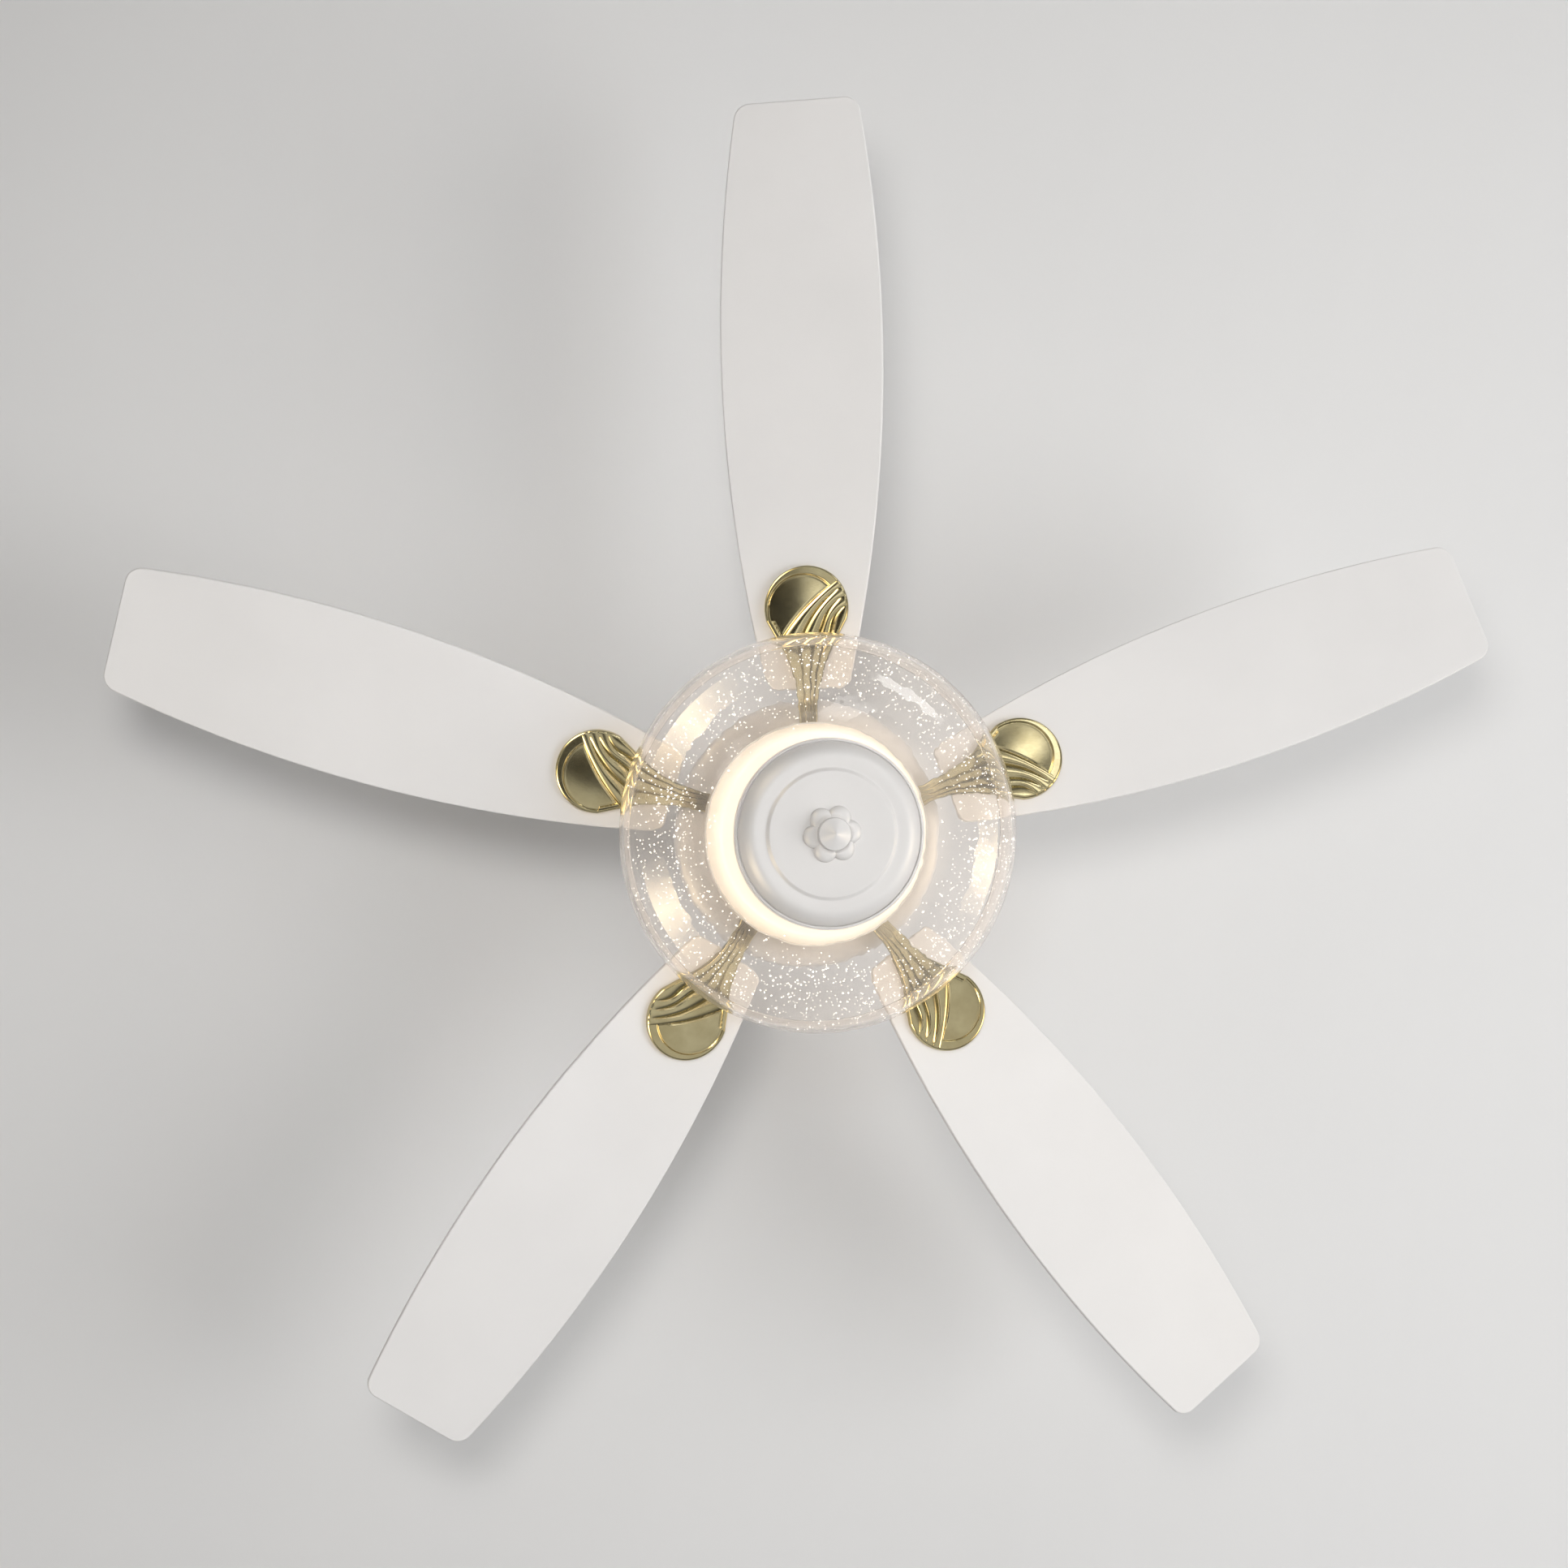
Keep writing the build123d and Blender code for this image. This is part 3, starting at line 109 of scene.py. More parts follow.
class FanCapSettings(bpy.types.PropertyGroup):
    steps: IntProperty(name="Steps", description="Segments round the cap", default=192)
    bead: length("Bead", "Width of the rolled edge, mm", 1.6)
    groove: length("Groove", "Width of the groove inside the rolled edge, mm", 1.0)
    groove_depth: length("Groove depth", "Depth of that groove, mm", 2.3)
    crest: length("Crest", "Radius where the slope ends, mm", 66.0)
    valley: length("Valley", "Radius of the valley round the disc, mm", 58.5)
    valley_rise: length("Valley rise", "Depth of the valley below the crest, mm", 0.5)
    disc: length("Disc", "Radius of the raised disc, mm", 54.5)
    disc_step: length("Disc step", "Height of the disc above the valley, mm", 2.8)
    sheet: length("Sheet", "Thickness of the sheet, mm", 1.5)


class FanFinialSettings(bpy.types.PropertyGroup):
    around: IntProperty(name="Around", description="Segments round the flower", default=240)
    petals: IntProperty(name="Petals", description="Number of petals", default=6)
    first: length("First petal", "Turn of the first petal, degrees", 54.0)
    pitch: length("Pitch", "Axis to the middle of a petal, mm", 15.5)
    petal: length("Petal", "Radius of a petal, mm", 10.3)
    petal_height: length("Petal height", "Height of a petal, mm", 6.3)
    petal_fall: length("Petal fall", "Width of the rounded fall at a petal's edge, mm", 8.5)
    dip: length("Dip", "Depth of the dip beside the button, mm", 0.8)
    dip_width: length("Dip width", "Width of that dip, mm", 4.0)
    button: length("Button", "Radius of the button in the middle, mm", 14.3)
    shoulder: length("Shoulder", "Seat to the shoulder of the button, mm", 14.0)
    bore: length("Bore", "Radius of the threaded hole, mm", 5.1)
    bore_depth: length("Bore depth", "Depth of the threaded hole, mm", 13.0)


class FanColourSettings(bpy.types.PropertyGroup):
    blade: colour("Blade white", "White lacquer of the blades", (0.815, 0.80, 0.785))
    enamel: colour("Enamel white", "Satin enamel of the pressed metal", (0.735, 0.72, 0.705))
    lamp: colour("Lamp", "Light of the diffuser", (1.0, 0.86, 0.66))
    lamp_level: FloatProperty(name="Lamp level", description="Strength of the diffuser", default=0.60)


class FanStageSettings(bpy.types.PropertyGroup):
    camera_place: FloatVectorProperty(
        name="Camera place", description="Camera below the fan", subtype="TRANSLATION", unit="LENGTH",
        default=(0.2920, 0.0031, -2.2544))
    camera_turn: FloatVectorProperty(
        name="Camera turn", description="Camera turn in degrees about X, Y and Z",
        default=(175.2598, 4.1429, -178.4713))
    lens: FloatProperty(name="Lens", description="Focal length in mm on a 36 mm sensor", default=49.509)
    camera_shift: FloatVectorProperty(
        name="Camera shift", description="Frame off the lens axis, across and up", size=2,
        default=(0.0837, 0.1495))
    ceiling: colour("Ceiling", "Flat paint of the ceiling", (0.80, 0.795, 0.785))
    key: FloatProperty(name="Key", description="Soft lamp near the camera", default=14.5)
    side: FloatProperty(name="Side", description="Broad lamp at the window side", default=62.0)
    room: FloatProperty(name="Room", description="Level of the light from the room", default=0.372)
    mirror: FloatProperty(name="Mirror", description="Level of the room in mirrors", default=0.70)


# Modelling aids

def clear_selection():
    if bpy.context.mode != "OBJECT":
        bpy.ops.object.mode_set(mode="OBJECT")
    bpy.ops.object.select_all(action="DESELECT")


def named(name):
    """Names the primitive that was just added."""
    piece = bpy.context.active_object
    piece.name = name
    piece.data.name = name
    return piece


def corners(mesh):
    flat = np.empty(len(mesh.vertices) * 3)
    mesh.vertices.foreach_get("co", flat)
    return flat.reshape(-1, 3)


def place_corners(mesh, points):
    mesh.vertices.foreach_set("co", np.ascontiguousarray(points, dtype=np.float32).ravel())
    mesh.update()


def pick(mesh, chosen):
    """Selects the chosen vertices only, ready for edit mode."""
    bpy.context.tool_settings.mesh_select_mode = (True, False, False)
    mesh.polygons.foreach_set("select", np.zeros(len(mesh.polygons), dtype=bool))
    mesh.edges.foreach_set("select", np.zeros(len(mesh.edges), dtype=bool))
    mesh.vertices.foreach_set("select", chosen)
    mesh.update()


def edit():
    bpy.ops.object.mode_set(mode="EDIT")


def done():
    bpy.ops.object.mode_set(mode="OBJECT")


def clean_up():
    """Merges doubles and turns the faces outwards."""
    edit()
    bpy.ops.mesh.select_all(action="SELECT")
    bpy.ops.mesh.remove_doubles(threshold=MERGE_GAP)
    bpy.ops.mesh.dissolve_degenerate(threshold=MERGE_GAP * 0.1)
    bpy.ops.mesh.normals_make_consistent(inside=False)
    done()


def smooth(piece, degrees):
    clear_selection()
    piece.select_set(True)
    bpy.context.view_layer.objects.active = piece
    bpy.ops.object.shade_smooth_by_angle(angle=math.radians(degrees))


def dress(piece, finish):
    piece.data.materials.clear()
    piece.data.materials.append(finish)


def ease(value):
    value = np.clip(value, 0.0, 1.0)
    return value * value * (3 - 2 * value)


def spun(name, section, steps):
    """Spins a closed section of radius and height, in mm, about the axis."""
    clear_selection()
    bpy.ops.mesh.primitive_circle_add(vertices=len(section), radius=1.0, fill_type="NOTHING")
    piece = named(name)
    place_corners(piece.data, np.array([(radius, 0.0, height) for radius, height in section]) * MM)
    edit()
    bpy.ops.mesh.select_all(action="SELECT")
    bpy.ops.mesh.spin(steps=steps, angle=2 * math.pi, center=(0, 0, 0), axis=(0, 0, 1))
    done()
    clean_up()
    return piece


# Finishes

class Finish:
    """A material with its main shader and short calls for its nodes."""

    def __init__(self, name, **sockets):
        self.material = bpy.data.materials.new(name)
        self.material.use_nodes = True
        self.tree = self.material.node_tree
        self.shader = self.tree.nodes["Principled BSDF"]
        self.place = self.tree.nodes.new("ShaderNodeTexCoord").outputs["Object"]
        for socket, value in sockets.items():
            self.shader.inputs[socket.replace("_", " ")].default_value = value

    def node(self, kind, **settings):
        made = self.tree.nodes.new(kind)
        for setting, value in settings.items():
            setattr(made, setting, value)
        return made

    def link(self, start, end):
        self.tree.links.new(start, end)

    def spread(self, stretch):
        mapping = self.node("ShaderNodeMapping")
        mapping.inputs["Scale"].default_value = stretch
        self.link(self.place, mapping.inputs["Vector"])
        return mapping.outputs["Vector"]

    def noise(self, scale, detail=3.0, stretch=None):
        made = self.node("ShaderNodeTexNoise")
        made.inputs["Scale"].default_value = scale
        made.inputs["Detail"].default_value = detail
        self.link(self.spread(stretch) if stretch else self.place, made.inputs["Vector"])
        return made.outputs["Fac"]

    def cells(self, scale):
        made = self.node("ShaderNodeTexVoronoi")
        made.inputs["Scale"].default_value = scale
        self.link(self.place, made.inputs["Vector"])
        return made.outputs["Distance"]

    def bands(self, scale, distortion=0.0):
        made = self.node("ShaderNodeTexWave", bands_direction="Z")
        made.inputs["Scale"].default_value = scale
        made.inputs["Distortion"].default_value = distortion
        self.link(self.place, made.inputs["Vector"])
        return made.outputs["Fac"]

    def ramp(self, source, low, high, start=0.3, end=0.7):
        made = self.node("ShaderNodeValToRGB")
        made.color_ramp.elements[0].position = start
        made.color_ramp.elements[1].position = end
        made.color_ramp.elements[0].color = (*low, 1.0)
        made.color_ramp.elements[1].color = (*high, 1.0)
        self.link(source, made.inputs["Fac"])
        return made.outputs["Color"]

    def level(self, source, low, high, start=0.3, end=0.7):
        made = self.node("ShaderNodeMapRange")
        made.inputs["From Min"].default_value = start
        made.inputs["From Max"].default_value = end
        made.inputs["To Min"].default_value = low
        made.inputs["To Max"].default_value = high
        self.link(source, made.inputs["Value"])
        return made.outputs["Result"]

    def add(self, first, second, share):
        made = self.node("ShaderNodeMath", operation="MULTIPLY_ADD")
        made.inputs[1].default_value = share
        self.link(second, made.inputs[0])
        self.link(first, made.inputs[2])
        return made.outputs["Value"]

    def bump(self, source, strength, distance):
        made = self.node("ShaderNodeBump")
        made.inputs["Strength"].default_value = strength
        made.inputs["Distance"].default_value = distance
        self.link(source, made.inputs["Height"])
        self.link(made.outputs["Normal"], self.shader.inputs["Normal"])

    def drive(self, socket, source):
        self.link(source, self.shader.inputs[socket])

    def height(self):
        axes = self.node("ShaderNodeSeparateXYZ")
        self.link(self.place, axes.inputs["Vector"])
        return axes.outputs["Z"]

    def blend(self, factor, first, second):
        """Shows the first shader where the factor is 0 and the second where it is 1."""
        mix = self.node("ShaderNodeMixShader")
        self.link(factor, mix.inputs["Fac"])
        self.link(first, mix.inputs[1])
        self.link(second, mix.inputs[2])
        self.link(mix.outputs["Shader"], self.tree.nodes["Material Output"].inputs["Surface"])


def shade(tone, factor):
    return tuple(min(1.0, value * factor) for value in tone)


def brass_finish(settings):
    """Satin brass with fine brushing and slow shifts of tone."""
    brass = Finish("satin_brass", Metallic=1.0)
    brass.drive("Base Color", brass.ramp(brass.noise(38.0, 4.0), settings.brass_deep, settings.brass_light))
    brushed = brass.noise(260.0, 3.0, stretch=(1.0, 9.0, 1.0))
    cloudy = brass.noise(55.0, 2.0)
    brass.drive("Roughness", brass.level(brass.add(brushed, cloudy, 0.6), 0.13, 0.21, 0.5, 1.1))
    brass.bump(brushed, 0.05, 0.0002)
    return brass.material


def lacquer_finish(tone):
    """White lacquer over board, with a faint pore and sanding texture."""
    lacquer = Finish("blade_lacquer", Specular_IOR_Level=0.3)
    lacquer.drive("Base Color", lacquer.ramp(lacquer.noise(7.0, 5.0), shade(tone, 0.97), shade(tone, 1.02)))
    pores = lacquer.noise(900.0, 2.0)
    sanding = lacquer.noise(140.0, 4.0)
    lacquer.drive("Roughness", lacquer.level(sanding, 0.48, 0.58))
    lacquer.bump(lacquer.add(pores, sanding, 0.7), 0.06, 0.0004)
    return lacquer.material


def enamel_finish(name, tone):
    """Satin enamel with a light orange peel."""
    enamel = Finish(name, Coat_Weight=0.2, Coat_Roughness=0.25)
    enamel.drive("Base Color", enamel.ramp(enamel.noise(16.0, 4.0), shade(tone, 0.975), shade(tone, 1.02)))
    peel = enamel.noise(420.0, 2.0)
    enamel.drive("Roughness", enamel.level(enamel.noise(60.0), 0.38, 0.47))
    enamel.bump(peel, 0.08, 0.0004)
    return enamel.material


def plated_finish(name, deep, light, rough):
    """Plated or ground metal with fine lines and small stains."""
    plated = Finish(name, Metallic=1.0)
    plated.drive("Base Color", plated.ramp(plated.noise(90.0, 5.0), deep, light))
    lines = plated.noise(700.0, 2.0, stretch=(1.0, 1.0, 7.0))
    plated.drive("Roughness", plated.level(lines, rough - 0.06, rough + 0.1))
    plated.bump(lines, 0.05, 0.0002)
    return plated.material


def zinc_finish():
    """Zinc plate with its pale crystal flakes."""
    zinc = Finish("zinc_plate", Metallic=1.0)
    flakes = zinc.cells(190.0)
    zinc.drive("Base Color", zinc.ramp(flakes, (0.50, 0.52, 0.55), (0.70, 0.71, 0.72), 0.1, 0.7))
    zinc.drive("Roughness", zinc.level(flakes, 0.28, 0.5, 0.1, 0.7))
    zinc.bump(zinc.noise(600.0), 0.05, 0.0002)
    return zinc.material


def cast_finish(name, deep, light):
    """Tumbled casting with a fine grain."""
    cast = Finish(name, Metallic=1.0)
    grain = cast.noise(800.0, 3.0)
    cast.drive("Base Color", cast.ramp(cast.noise(60.0, 5.0), deep, light))
    cast.drive("Roughness", cast.level(grain, 0.4, 0.6))
    cast.bump(grain, 0.2, 0.0004)
    return cast.material


def moulded_finish(name, deep, light, rough=0.5):
    """Moulded plastic, rubber or fibre with a light texture."""
    moulded = Finish(name)
    moulded.drive("Base Color", moulded.ramp(moulded.noise(50.0, 4.0), deep, light))
    grain = moulded.noise(1100.0, 2.0)
    moulded.drive("Roughness", moulded.level(grain, rough - 0.06, rough + 0.08))
    moulded.bump(grain, 0.12, 0.0003)
    return moulded.material


def core_finish():
    """Stacked laminations, seen as thin level lines."""
    core = Finish("core_laminations", Metallic=1.0)
    sheets = core.bands(320.0)
    core.drive("Base Color", core.ramp(sheets, (0.16, 0.16, 0.17), (0.34, 0.34, 0.35), 0.2, 0.8))
    core.drive("Roughness", core.level(sheets, 0.42, 0.6, 0.2, 0.8))
    core.bump(sheets, 0.3, 0.0003)
    return core.material


def winding_finish():
    """Enamelled copper wire, wound turn beside turn."""
    winding = Finish("copper_windings", Metallic=1.0, Coat_Weight=0.5, Coat_Roughness=0.15)
    turns = winding.bands(260.0, 1.5)
    winding.drive("Base Color", winding.ramp(turns, (0.33, 0.13, 0.05), (0.72, 0.36, 0.17), 0.1, 0.8))
    winding.drive("Roughness", winding.level(turns, 0.26, 0.45, 0.1, 0.8))
    winding.bump(turns, 0.6, 0.0005)
    return winding.material


def chip_finish():
    """Phosphor of the lamp chips."""
    chip = Finish("chip_phosphor", Emission_Color=(1.0, 0.88, 0.55, 1.0), Emission_Strength=1.0)
    chip.drive("Base Color", chip.ramp(chip.noise(500.0), (0.90, 0.74, 0.22), (0.95, 0.84, 0.36)))
    chip.drive("Roughness", chip.level(chip.noise(900.0), 0.3, 0.45))
    return chip.material


def diffuser_finish(settings):
    """Opal plastic lit from behind."""
    opal = Finish("diffuser_opal")
    low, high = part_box("diffuser")
    opal.drive("Emission Strength", opal.level(
        opal.height(), settings.lamp_level, settings.lamp_level * 0.5, low[2] + 3 * MM, high[2] - 8 * MM))
    cloudy = opal.noise(14.0, 2.0)
    opal.drive("Base Color", opal.ramp(cloudy, (0.90, 0.88, 0.83), (0.95, 0.94, 0.90)))
    opal.drive("Emission Color", opal.ramp(cloudy, shade(settings.lamp, 0.96), settings.lamp))
    opal.drive("Roughness", opal.level(opal.noise(300.0), 0.45, 0.6))
    return opal.material


def clear_for_shadow(finish, tint):
    """Lets light pass the glass as a tinted shadow."""
    path = finish.node("ShaderNodeLightPath")
    through = finish.node("ShaderNodeBsdfTransparent")
    through.inputs["Color"].default_value = (*tint, 1.0)
    finish.blend(path.outputs["Is Shadow Ray"], finish.shader.outputs["BSDF"], through.outputs["BSDF"])


RIPPLE_FADE = (-0.357, -0.336)
# Radii in metres over which the painted lamp glow in the glass fades out
PAINTED_GLOW_FADE = (0.098, 0.114)


def glass_finish(settings):
    """Clear warm glass with a slow hand-blown ripple and a painted warm glow of the lamp that fades outward
    from beside the lamp.
    """
    # The warm emission colour is painted light: a glow of the lamp in the glass, though the glass is no lamp
    glass = Finish("seeded_glass", Transmission_Weight=0.95, IOR=1.5, Roughness=0.02,
                   Emission_Color=(1.0, 0.82, 0.60, 1.0))
    glass.drive("Base Color", glass.ramp(glass.noise(20.0), shade(settings.tint, 0.985), settings.tint))
    ripple = glass.node("ShaderNodeMath", operation="MULTIPLY")
    glass.link(glass.noise(70.0, 1.0), ripple.inputs[0])
    glass.link(glass.level(glass.height(), 1.0, 0.0, *RIPPLE_FADE), ripple.inputs[1])
    glass.bump(ripple.outputs["Value"], 0.22, 0.002)
    # Painted glow: emission falls off with distance from the axis and is brightest beside the lamp
    reach = glass.node("ShaderNodeVectorMath", operation="LENGTH")
    glass.link(glass.spread((1.0, 1.0, 0.0)), reach.inputs["Vector"])
    glass.drive("Emission Strength", glass.level(reach.outputs["Value"], 0.06, 0.012, *PAINTED_GLOW_FADE))
    clear_for_shadow(glass, (0.97, 0.95, 0.93))
    return glass.material


def seed_finish():
    """Bubbles in the glass, with a painted glow standing in for the light they catch."""
    # The emission paints a glint on every bubble; the bubbles are no lamp
    seed = Finish("glass_seed", Transmission_Weight=0.4, IOR=1.3, Emission_Color=(1.0, 0.95, 0.88, 1.0),
                  Emission_Strength=0.85)
    seed.drive("Base Color", seed.ramp(seed.noise(300.0), (0.93, 0.91, 0.88), (1.0, 0.99, 0.97)))
    seed.drive("Roughness", seed.level(seed.noise(500.0), 0.05, 0.2))
    clear_for_shadow(seed, (0.99, 0.98, 0.97))
    return seed.material


def ceiling_finish(tone):
    """Flat ceiling paint, seen from below only."""
    paint = Finish("ceiling_paint", Roughness=0.9, Specular_IOR_Level=0.1)
    paint.drive("Base Color", paint.ramp(paint.noise(1.3, 5.0), shade(tone, 0.985), shade(tone, 1.015)))
    paint.bump(paint.noise(160.0, 3.0), 0.06, 0.001)
    side = paint.node("ShaderNodeNewGeometry")
    through = paint.node("ShaderNodeBsdfTransparent")
    paint.blend(side.outputs["Backfacing"], paint.shader.outputs["BSDF"], through.outputs["BSDF"])
    return paint.material


# Blade iron

PANEL_MIDDLE = (-1.5, -2.8)
PANEL_RADIUS = 32.3
PANEL_ARC = ((-33.0, -26.0), (-25.0, -21.0), (-9.3, -9.0), (9.5, 9.8), (18.9, 21.9))
GROOVES = (
    ((-33.0, -8.0), (-23.0, -3.2), (-0.6, 10.7), (16.6, 29.7)),
    ((-33.0, 4.8), (-23.0, 11.6), (-4.7, 19.4), (8.5, 32.3)),
    ((-33.0, 14.9), (-23.0, 21.3), (-8.9, 25.8), (0.1, 34.9)),
)
ARM_SHARES = (-1.0, -0.33, 0.2, 0.62, 1.0)
SHOULDER_BACK = 11.0
NECK_BACK = 33.0
NECK_HALF = 25.0
ARM_HALF = 10.5
WAIST_START = 92.0
WAIST_RUN = 14.0
WAIST_IN = 1.8
FOOT_INNER = 54.0
FOOT_CORNER = 4.0
FOOT_END = 100.0
CHEEK_SLANT = 0.86
PANEL_SLANT = 0.68
PANEL_EDGE = 0.9
PANEL_ROLL = 1.2
CHEEK_BORDER = 5.0
ARM_ROUND = 1.4
CROWN = 0.5


def iron_stations(settings):
    """Distances from the axis of the mesh rows, closer together on the pad."""
    pad = settings.pad_out
    arm = np.linspace(FOOT_INNER, pad - NECK_BACK, settings.rows * 7 // 20)
    cheek = np.linspace(pad - NECK_BACK, pad - SHOULDER_BACK, settings.rows // 8)[1:]
    first = -math.asin(SHOULDER_BACK / settings.pad_radius)
    turns = np.linspace(first, math.pi / 2, settings.rows + 1 - len(arm) - len(cheek) + 1)[1:]
    return np.concatenate([arm, cheek, pad + settings.pad_radius * np.sin(turns)])


def iron_half_width(settings, out):
    pad = settings.pad_out
    back = out - pad
    shoulder = math.sqrt(settings.pad_radius ** 2 - SHOULDER_BACK ** 2)
    along = np.clip((out - FOOT_END) / (pad - NECK_BACK + 1 - FOOT_END), 0, 1)
    arm = ARM_HALF - WAIST_IN * ease((out - WAIST_START) / WAIST_RUN)
    arm = arm + (NECK_HALF - ARM_HALF + WAIST_IN) * along ** 2.6
    corner = np.clip(FOOT_INNER + FOOT_CORNER - out, 0, FOOT_CORNER)
    arm = arm - (FOOT_CORNER - np.sqrt(FOOT_CORNER ** 2 - corner ** 2))
    cheek = NECK_HALF + (shoulder - NECK_HALF) * (back + NECK_BACK) / (NECK_BACK - SHOULDER_BACK)
    round_end = np.sqrt(np.clip(settings.pad_radius ** 2 - back ** 2, 0, None))
    return np.where(back < -NECK_BACK, arm, np.where(back < -SHOULDER_BACK, cheek, round_end))


def curve_across(points, back):
    """Height across the pad of a curve through a few points."""
    outs, sides = zip(*points)
    return np.polyval(np.polyfit(outs, sides, len(points) - 1), back)


def iron_relief(settings, out, side):
    """Height of the worked face above the plate."""
    pad = settings.pad_out
    back = out - pad
    half = iron_half_width(settings, out)
    on_arm = back < -NECK_BACK
    in_cheek = back < -SHOULDER_BACK
    from_side = (half - np.abs(side)) * CHEEK_SLANT
    border = np.clip(np.where(in_cheek, from_side, settings.pad_radius - np.hypot(back, side)), 0, None)

    along = np.clip((out - FOOT_END) / (pad - NECK_BACK - FOOT_END), 0, 1)
    level = settings.rim_height * (0.15 + 0.85 * ease(along * 1.2))

    lines = [np.where(on_arm, ARM_SHARES[0] * half, curve_across(PANEL_ARC, back))]
    tips = [PANEL_ARC[-1][0] + 4.0]
    for groove, share in zip(GROOVES, ARM_SHARES[1:]):
        lines.append(np.where(on_arm, share * half, curve_across(groove, back)))
        tips.append(groove[-1][0])
    lines.append(np.where(on_arm, half, half + 6.0 * np.clip((back + NECK_BACK) / 12.0, 0, 1)))
    tips.append(-20.0)

    depth_arm = settings.groove_depth * (0.25 + 0.75 * along) * ease((out - 98.0) / 14.0)
    depths = []
    for tip in tips:
        fade = np.clip((tip - back) / 16.0, 0, 1) ** 0.6
        depths.append(np.where(on_arm, depth_arm, settings.groove_depth * fade))
    depths[0] = np.where(on_arm, depths[0], depths[0] * 0.5)
    height = np.array(level)
    for low, high, deep_low, deep_high in zip(lines, lines[1:], depths, depths[1:]):
        share = np.clip((side - low) / np.maximum(high - low, 0.5), 0, 1)
        crown = (4 * share * (1 - share)) ** 0.5
        deep = deep_low * (1 - share) + deep_high * share
        inside = (side >= low) & (side < high)
        ridge = CROWN * crown * np.where(on_arm, along, 1.0)
        height = np.where(inside, level - deep * (1 - crown) + ridge, height)

    from_middle = np.hypot(back - PANEL_MIDDLE[0], side - PANEL_MIDDLE[1])
    away_arc = (lines[0] - side) * PANEL_SLANT
    cheek = np.where(in_cheek, from_side - CHEEK_BORDER, np.inf)
    inset = np.minimum(np.minimum(PANEL_RADIUS - from_middle, away_arc), cheek)
    dome = settings.panel_dome * np.clip(1 - (from_middle / PANEL_RADIUS) ** 2, 0, 1) * ease(inset / 3.0)
    panel = level - settings.panel_step * ease(inset / PANEL_EDGE) + dome
    height = np.where((inset > 0) & ~on_arm, panel, height)
    on_roll = (inset > -PANEL_ROLL) & (inset <= 0) & ~on_arm & (inset < away_arc - 0.01)
    rolled = np.where(on_roll, PANEL_ROLL + inset, 0.0)
    height = height - (PANEL_ROLL - np.sqrt(PANEL_ROLL ** 2 - rolled ** 2)) * 0.7

    bevel = np.where(on_arm, ARM_ROUND, settings.rim_round)
    near = np.clip(bevel - border, 0, bevel)
    return height - (bevel - np.sqrt(bevel ** 2 - near ** 2))


def iron_bend(out, side, height):
    """Puts flat iron points at their place: level at the foot, pitched with the blade at the pad."""
    climb = ease((out - IRON_CLIMB[0]) / (IRON_CLIMB[1] - IRON_CLIMB[0]))
    middle = BLADE_Z + IRON_DROP * (1 - climb)
    turn = np.radians(-BLADE_PITCH * climb)
    across = side * np.cos(turn) - height * np.sin(turn)
    up = middle + side * np.sin(turn) + height * np.cos(turn)
    return np.stack([out, across, up], 1) * MM


class FAN_OT_blade_irons(bpy.types.Operator):
    """Models one fluted blade iron and copies it round the rotor"""
    bl_idname = "fan.blade_irons"
    bl_label = "Blade irons"

    def execute(self, context):
        settings = context.scene.fan_irons
        clear_selection()
        bpy.ops.mesh.primitive_grid_add(
            x_subdivisions=settings.rows, y_subdivisions=settings.columns, size=2.0)
        iron = named("fluted_iron_1")
        edit()
        bpy.ops.mesh.select_all(action="SELECT")
        bpy.ops.mesh.region_to_loop()
        bpy.ops.mesh.extrude_edges_move(TRANSFORM_OT_translate={"value": (0.0, 0.0, 1.0)})
        done()
        grid = corners(iron.data)
        pick(iron.data, (grid[:, 2] > 0.5) & (np.abs(grid[:, 1]) > 0.9999))
        edit()
        bpy.ops.mesh.bridge_edge_loops()
        for end in (-1, 1):
            done()
            pick(iron.data, (grid[:, 2] > 0.5) & (grid[:, 0] * end > 0.9999))
            edit()
            bpy.ops.mesh.edge_face_add()
        done()
        stations = iron_stations(settings)
        row = (grid[:, 0] + 1) / 2 * (len(stations) - 1)
        out = np.interp(row, np.arange(len(stations)), stations)
        side = grid[:, 1] * iron_half_width(settings, out)
        relieved = 0.6 * ease((out - FOOT_END) / 10.0) * (out < settings.pad_out - NECK_BACK)
        back = -BLADE_THICKNESS / 2 - relieved
        face = -BLADE_THICKNESS / 2 - settings.plate - iron_relief(settings, out, side)
        place_corners(iron.data, iron_bend(out, side, np.where(grid[:, 2] > 0.5, back, face)))
        clean_up()
        smooth(iron, 40)
        dress(iron, brass_finish(settings))
        for number in range(BLADES):
            copy = iron if number == BLADES - 1 else iron.copy()
            if copy is not iron:
                copy.data = iron.data.copy()
                context.collection.objects.link(copy)
            copy.data.transform(Matrix.Rotation(math.radians(FIRST_BLADE + BLADE_STEP * number), 4, "Z"))
            copy.name = f"fluted_brass_iron_{number + 1}"
            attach(copy, "rotor")
            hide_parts(f"blade_iron_{number + 1}")
        return {"FINISHED"}


# Glass bowl

ROUND_STEPS = 61
RIM_STEPS = 9
RIM_ROUND = 1.6
SHELF_STEPS = 4
WAVE_REACH = 172.0
WAVE_EASE = 30.0


def bowl_levels():
    low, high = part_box("glass_bowl")
    return low[2] / MM, high[2] / MM


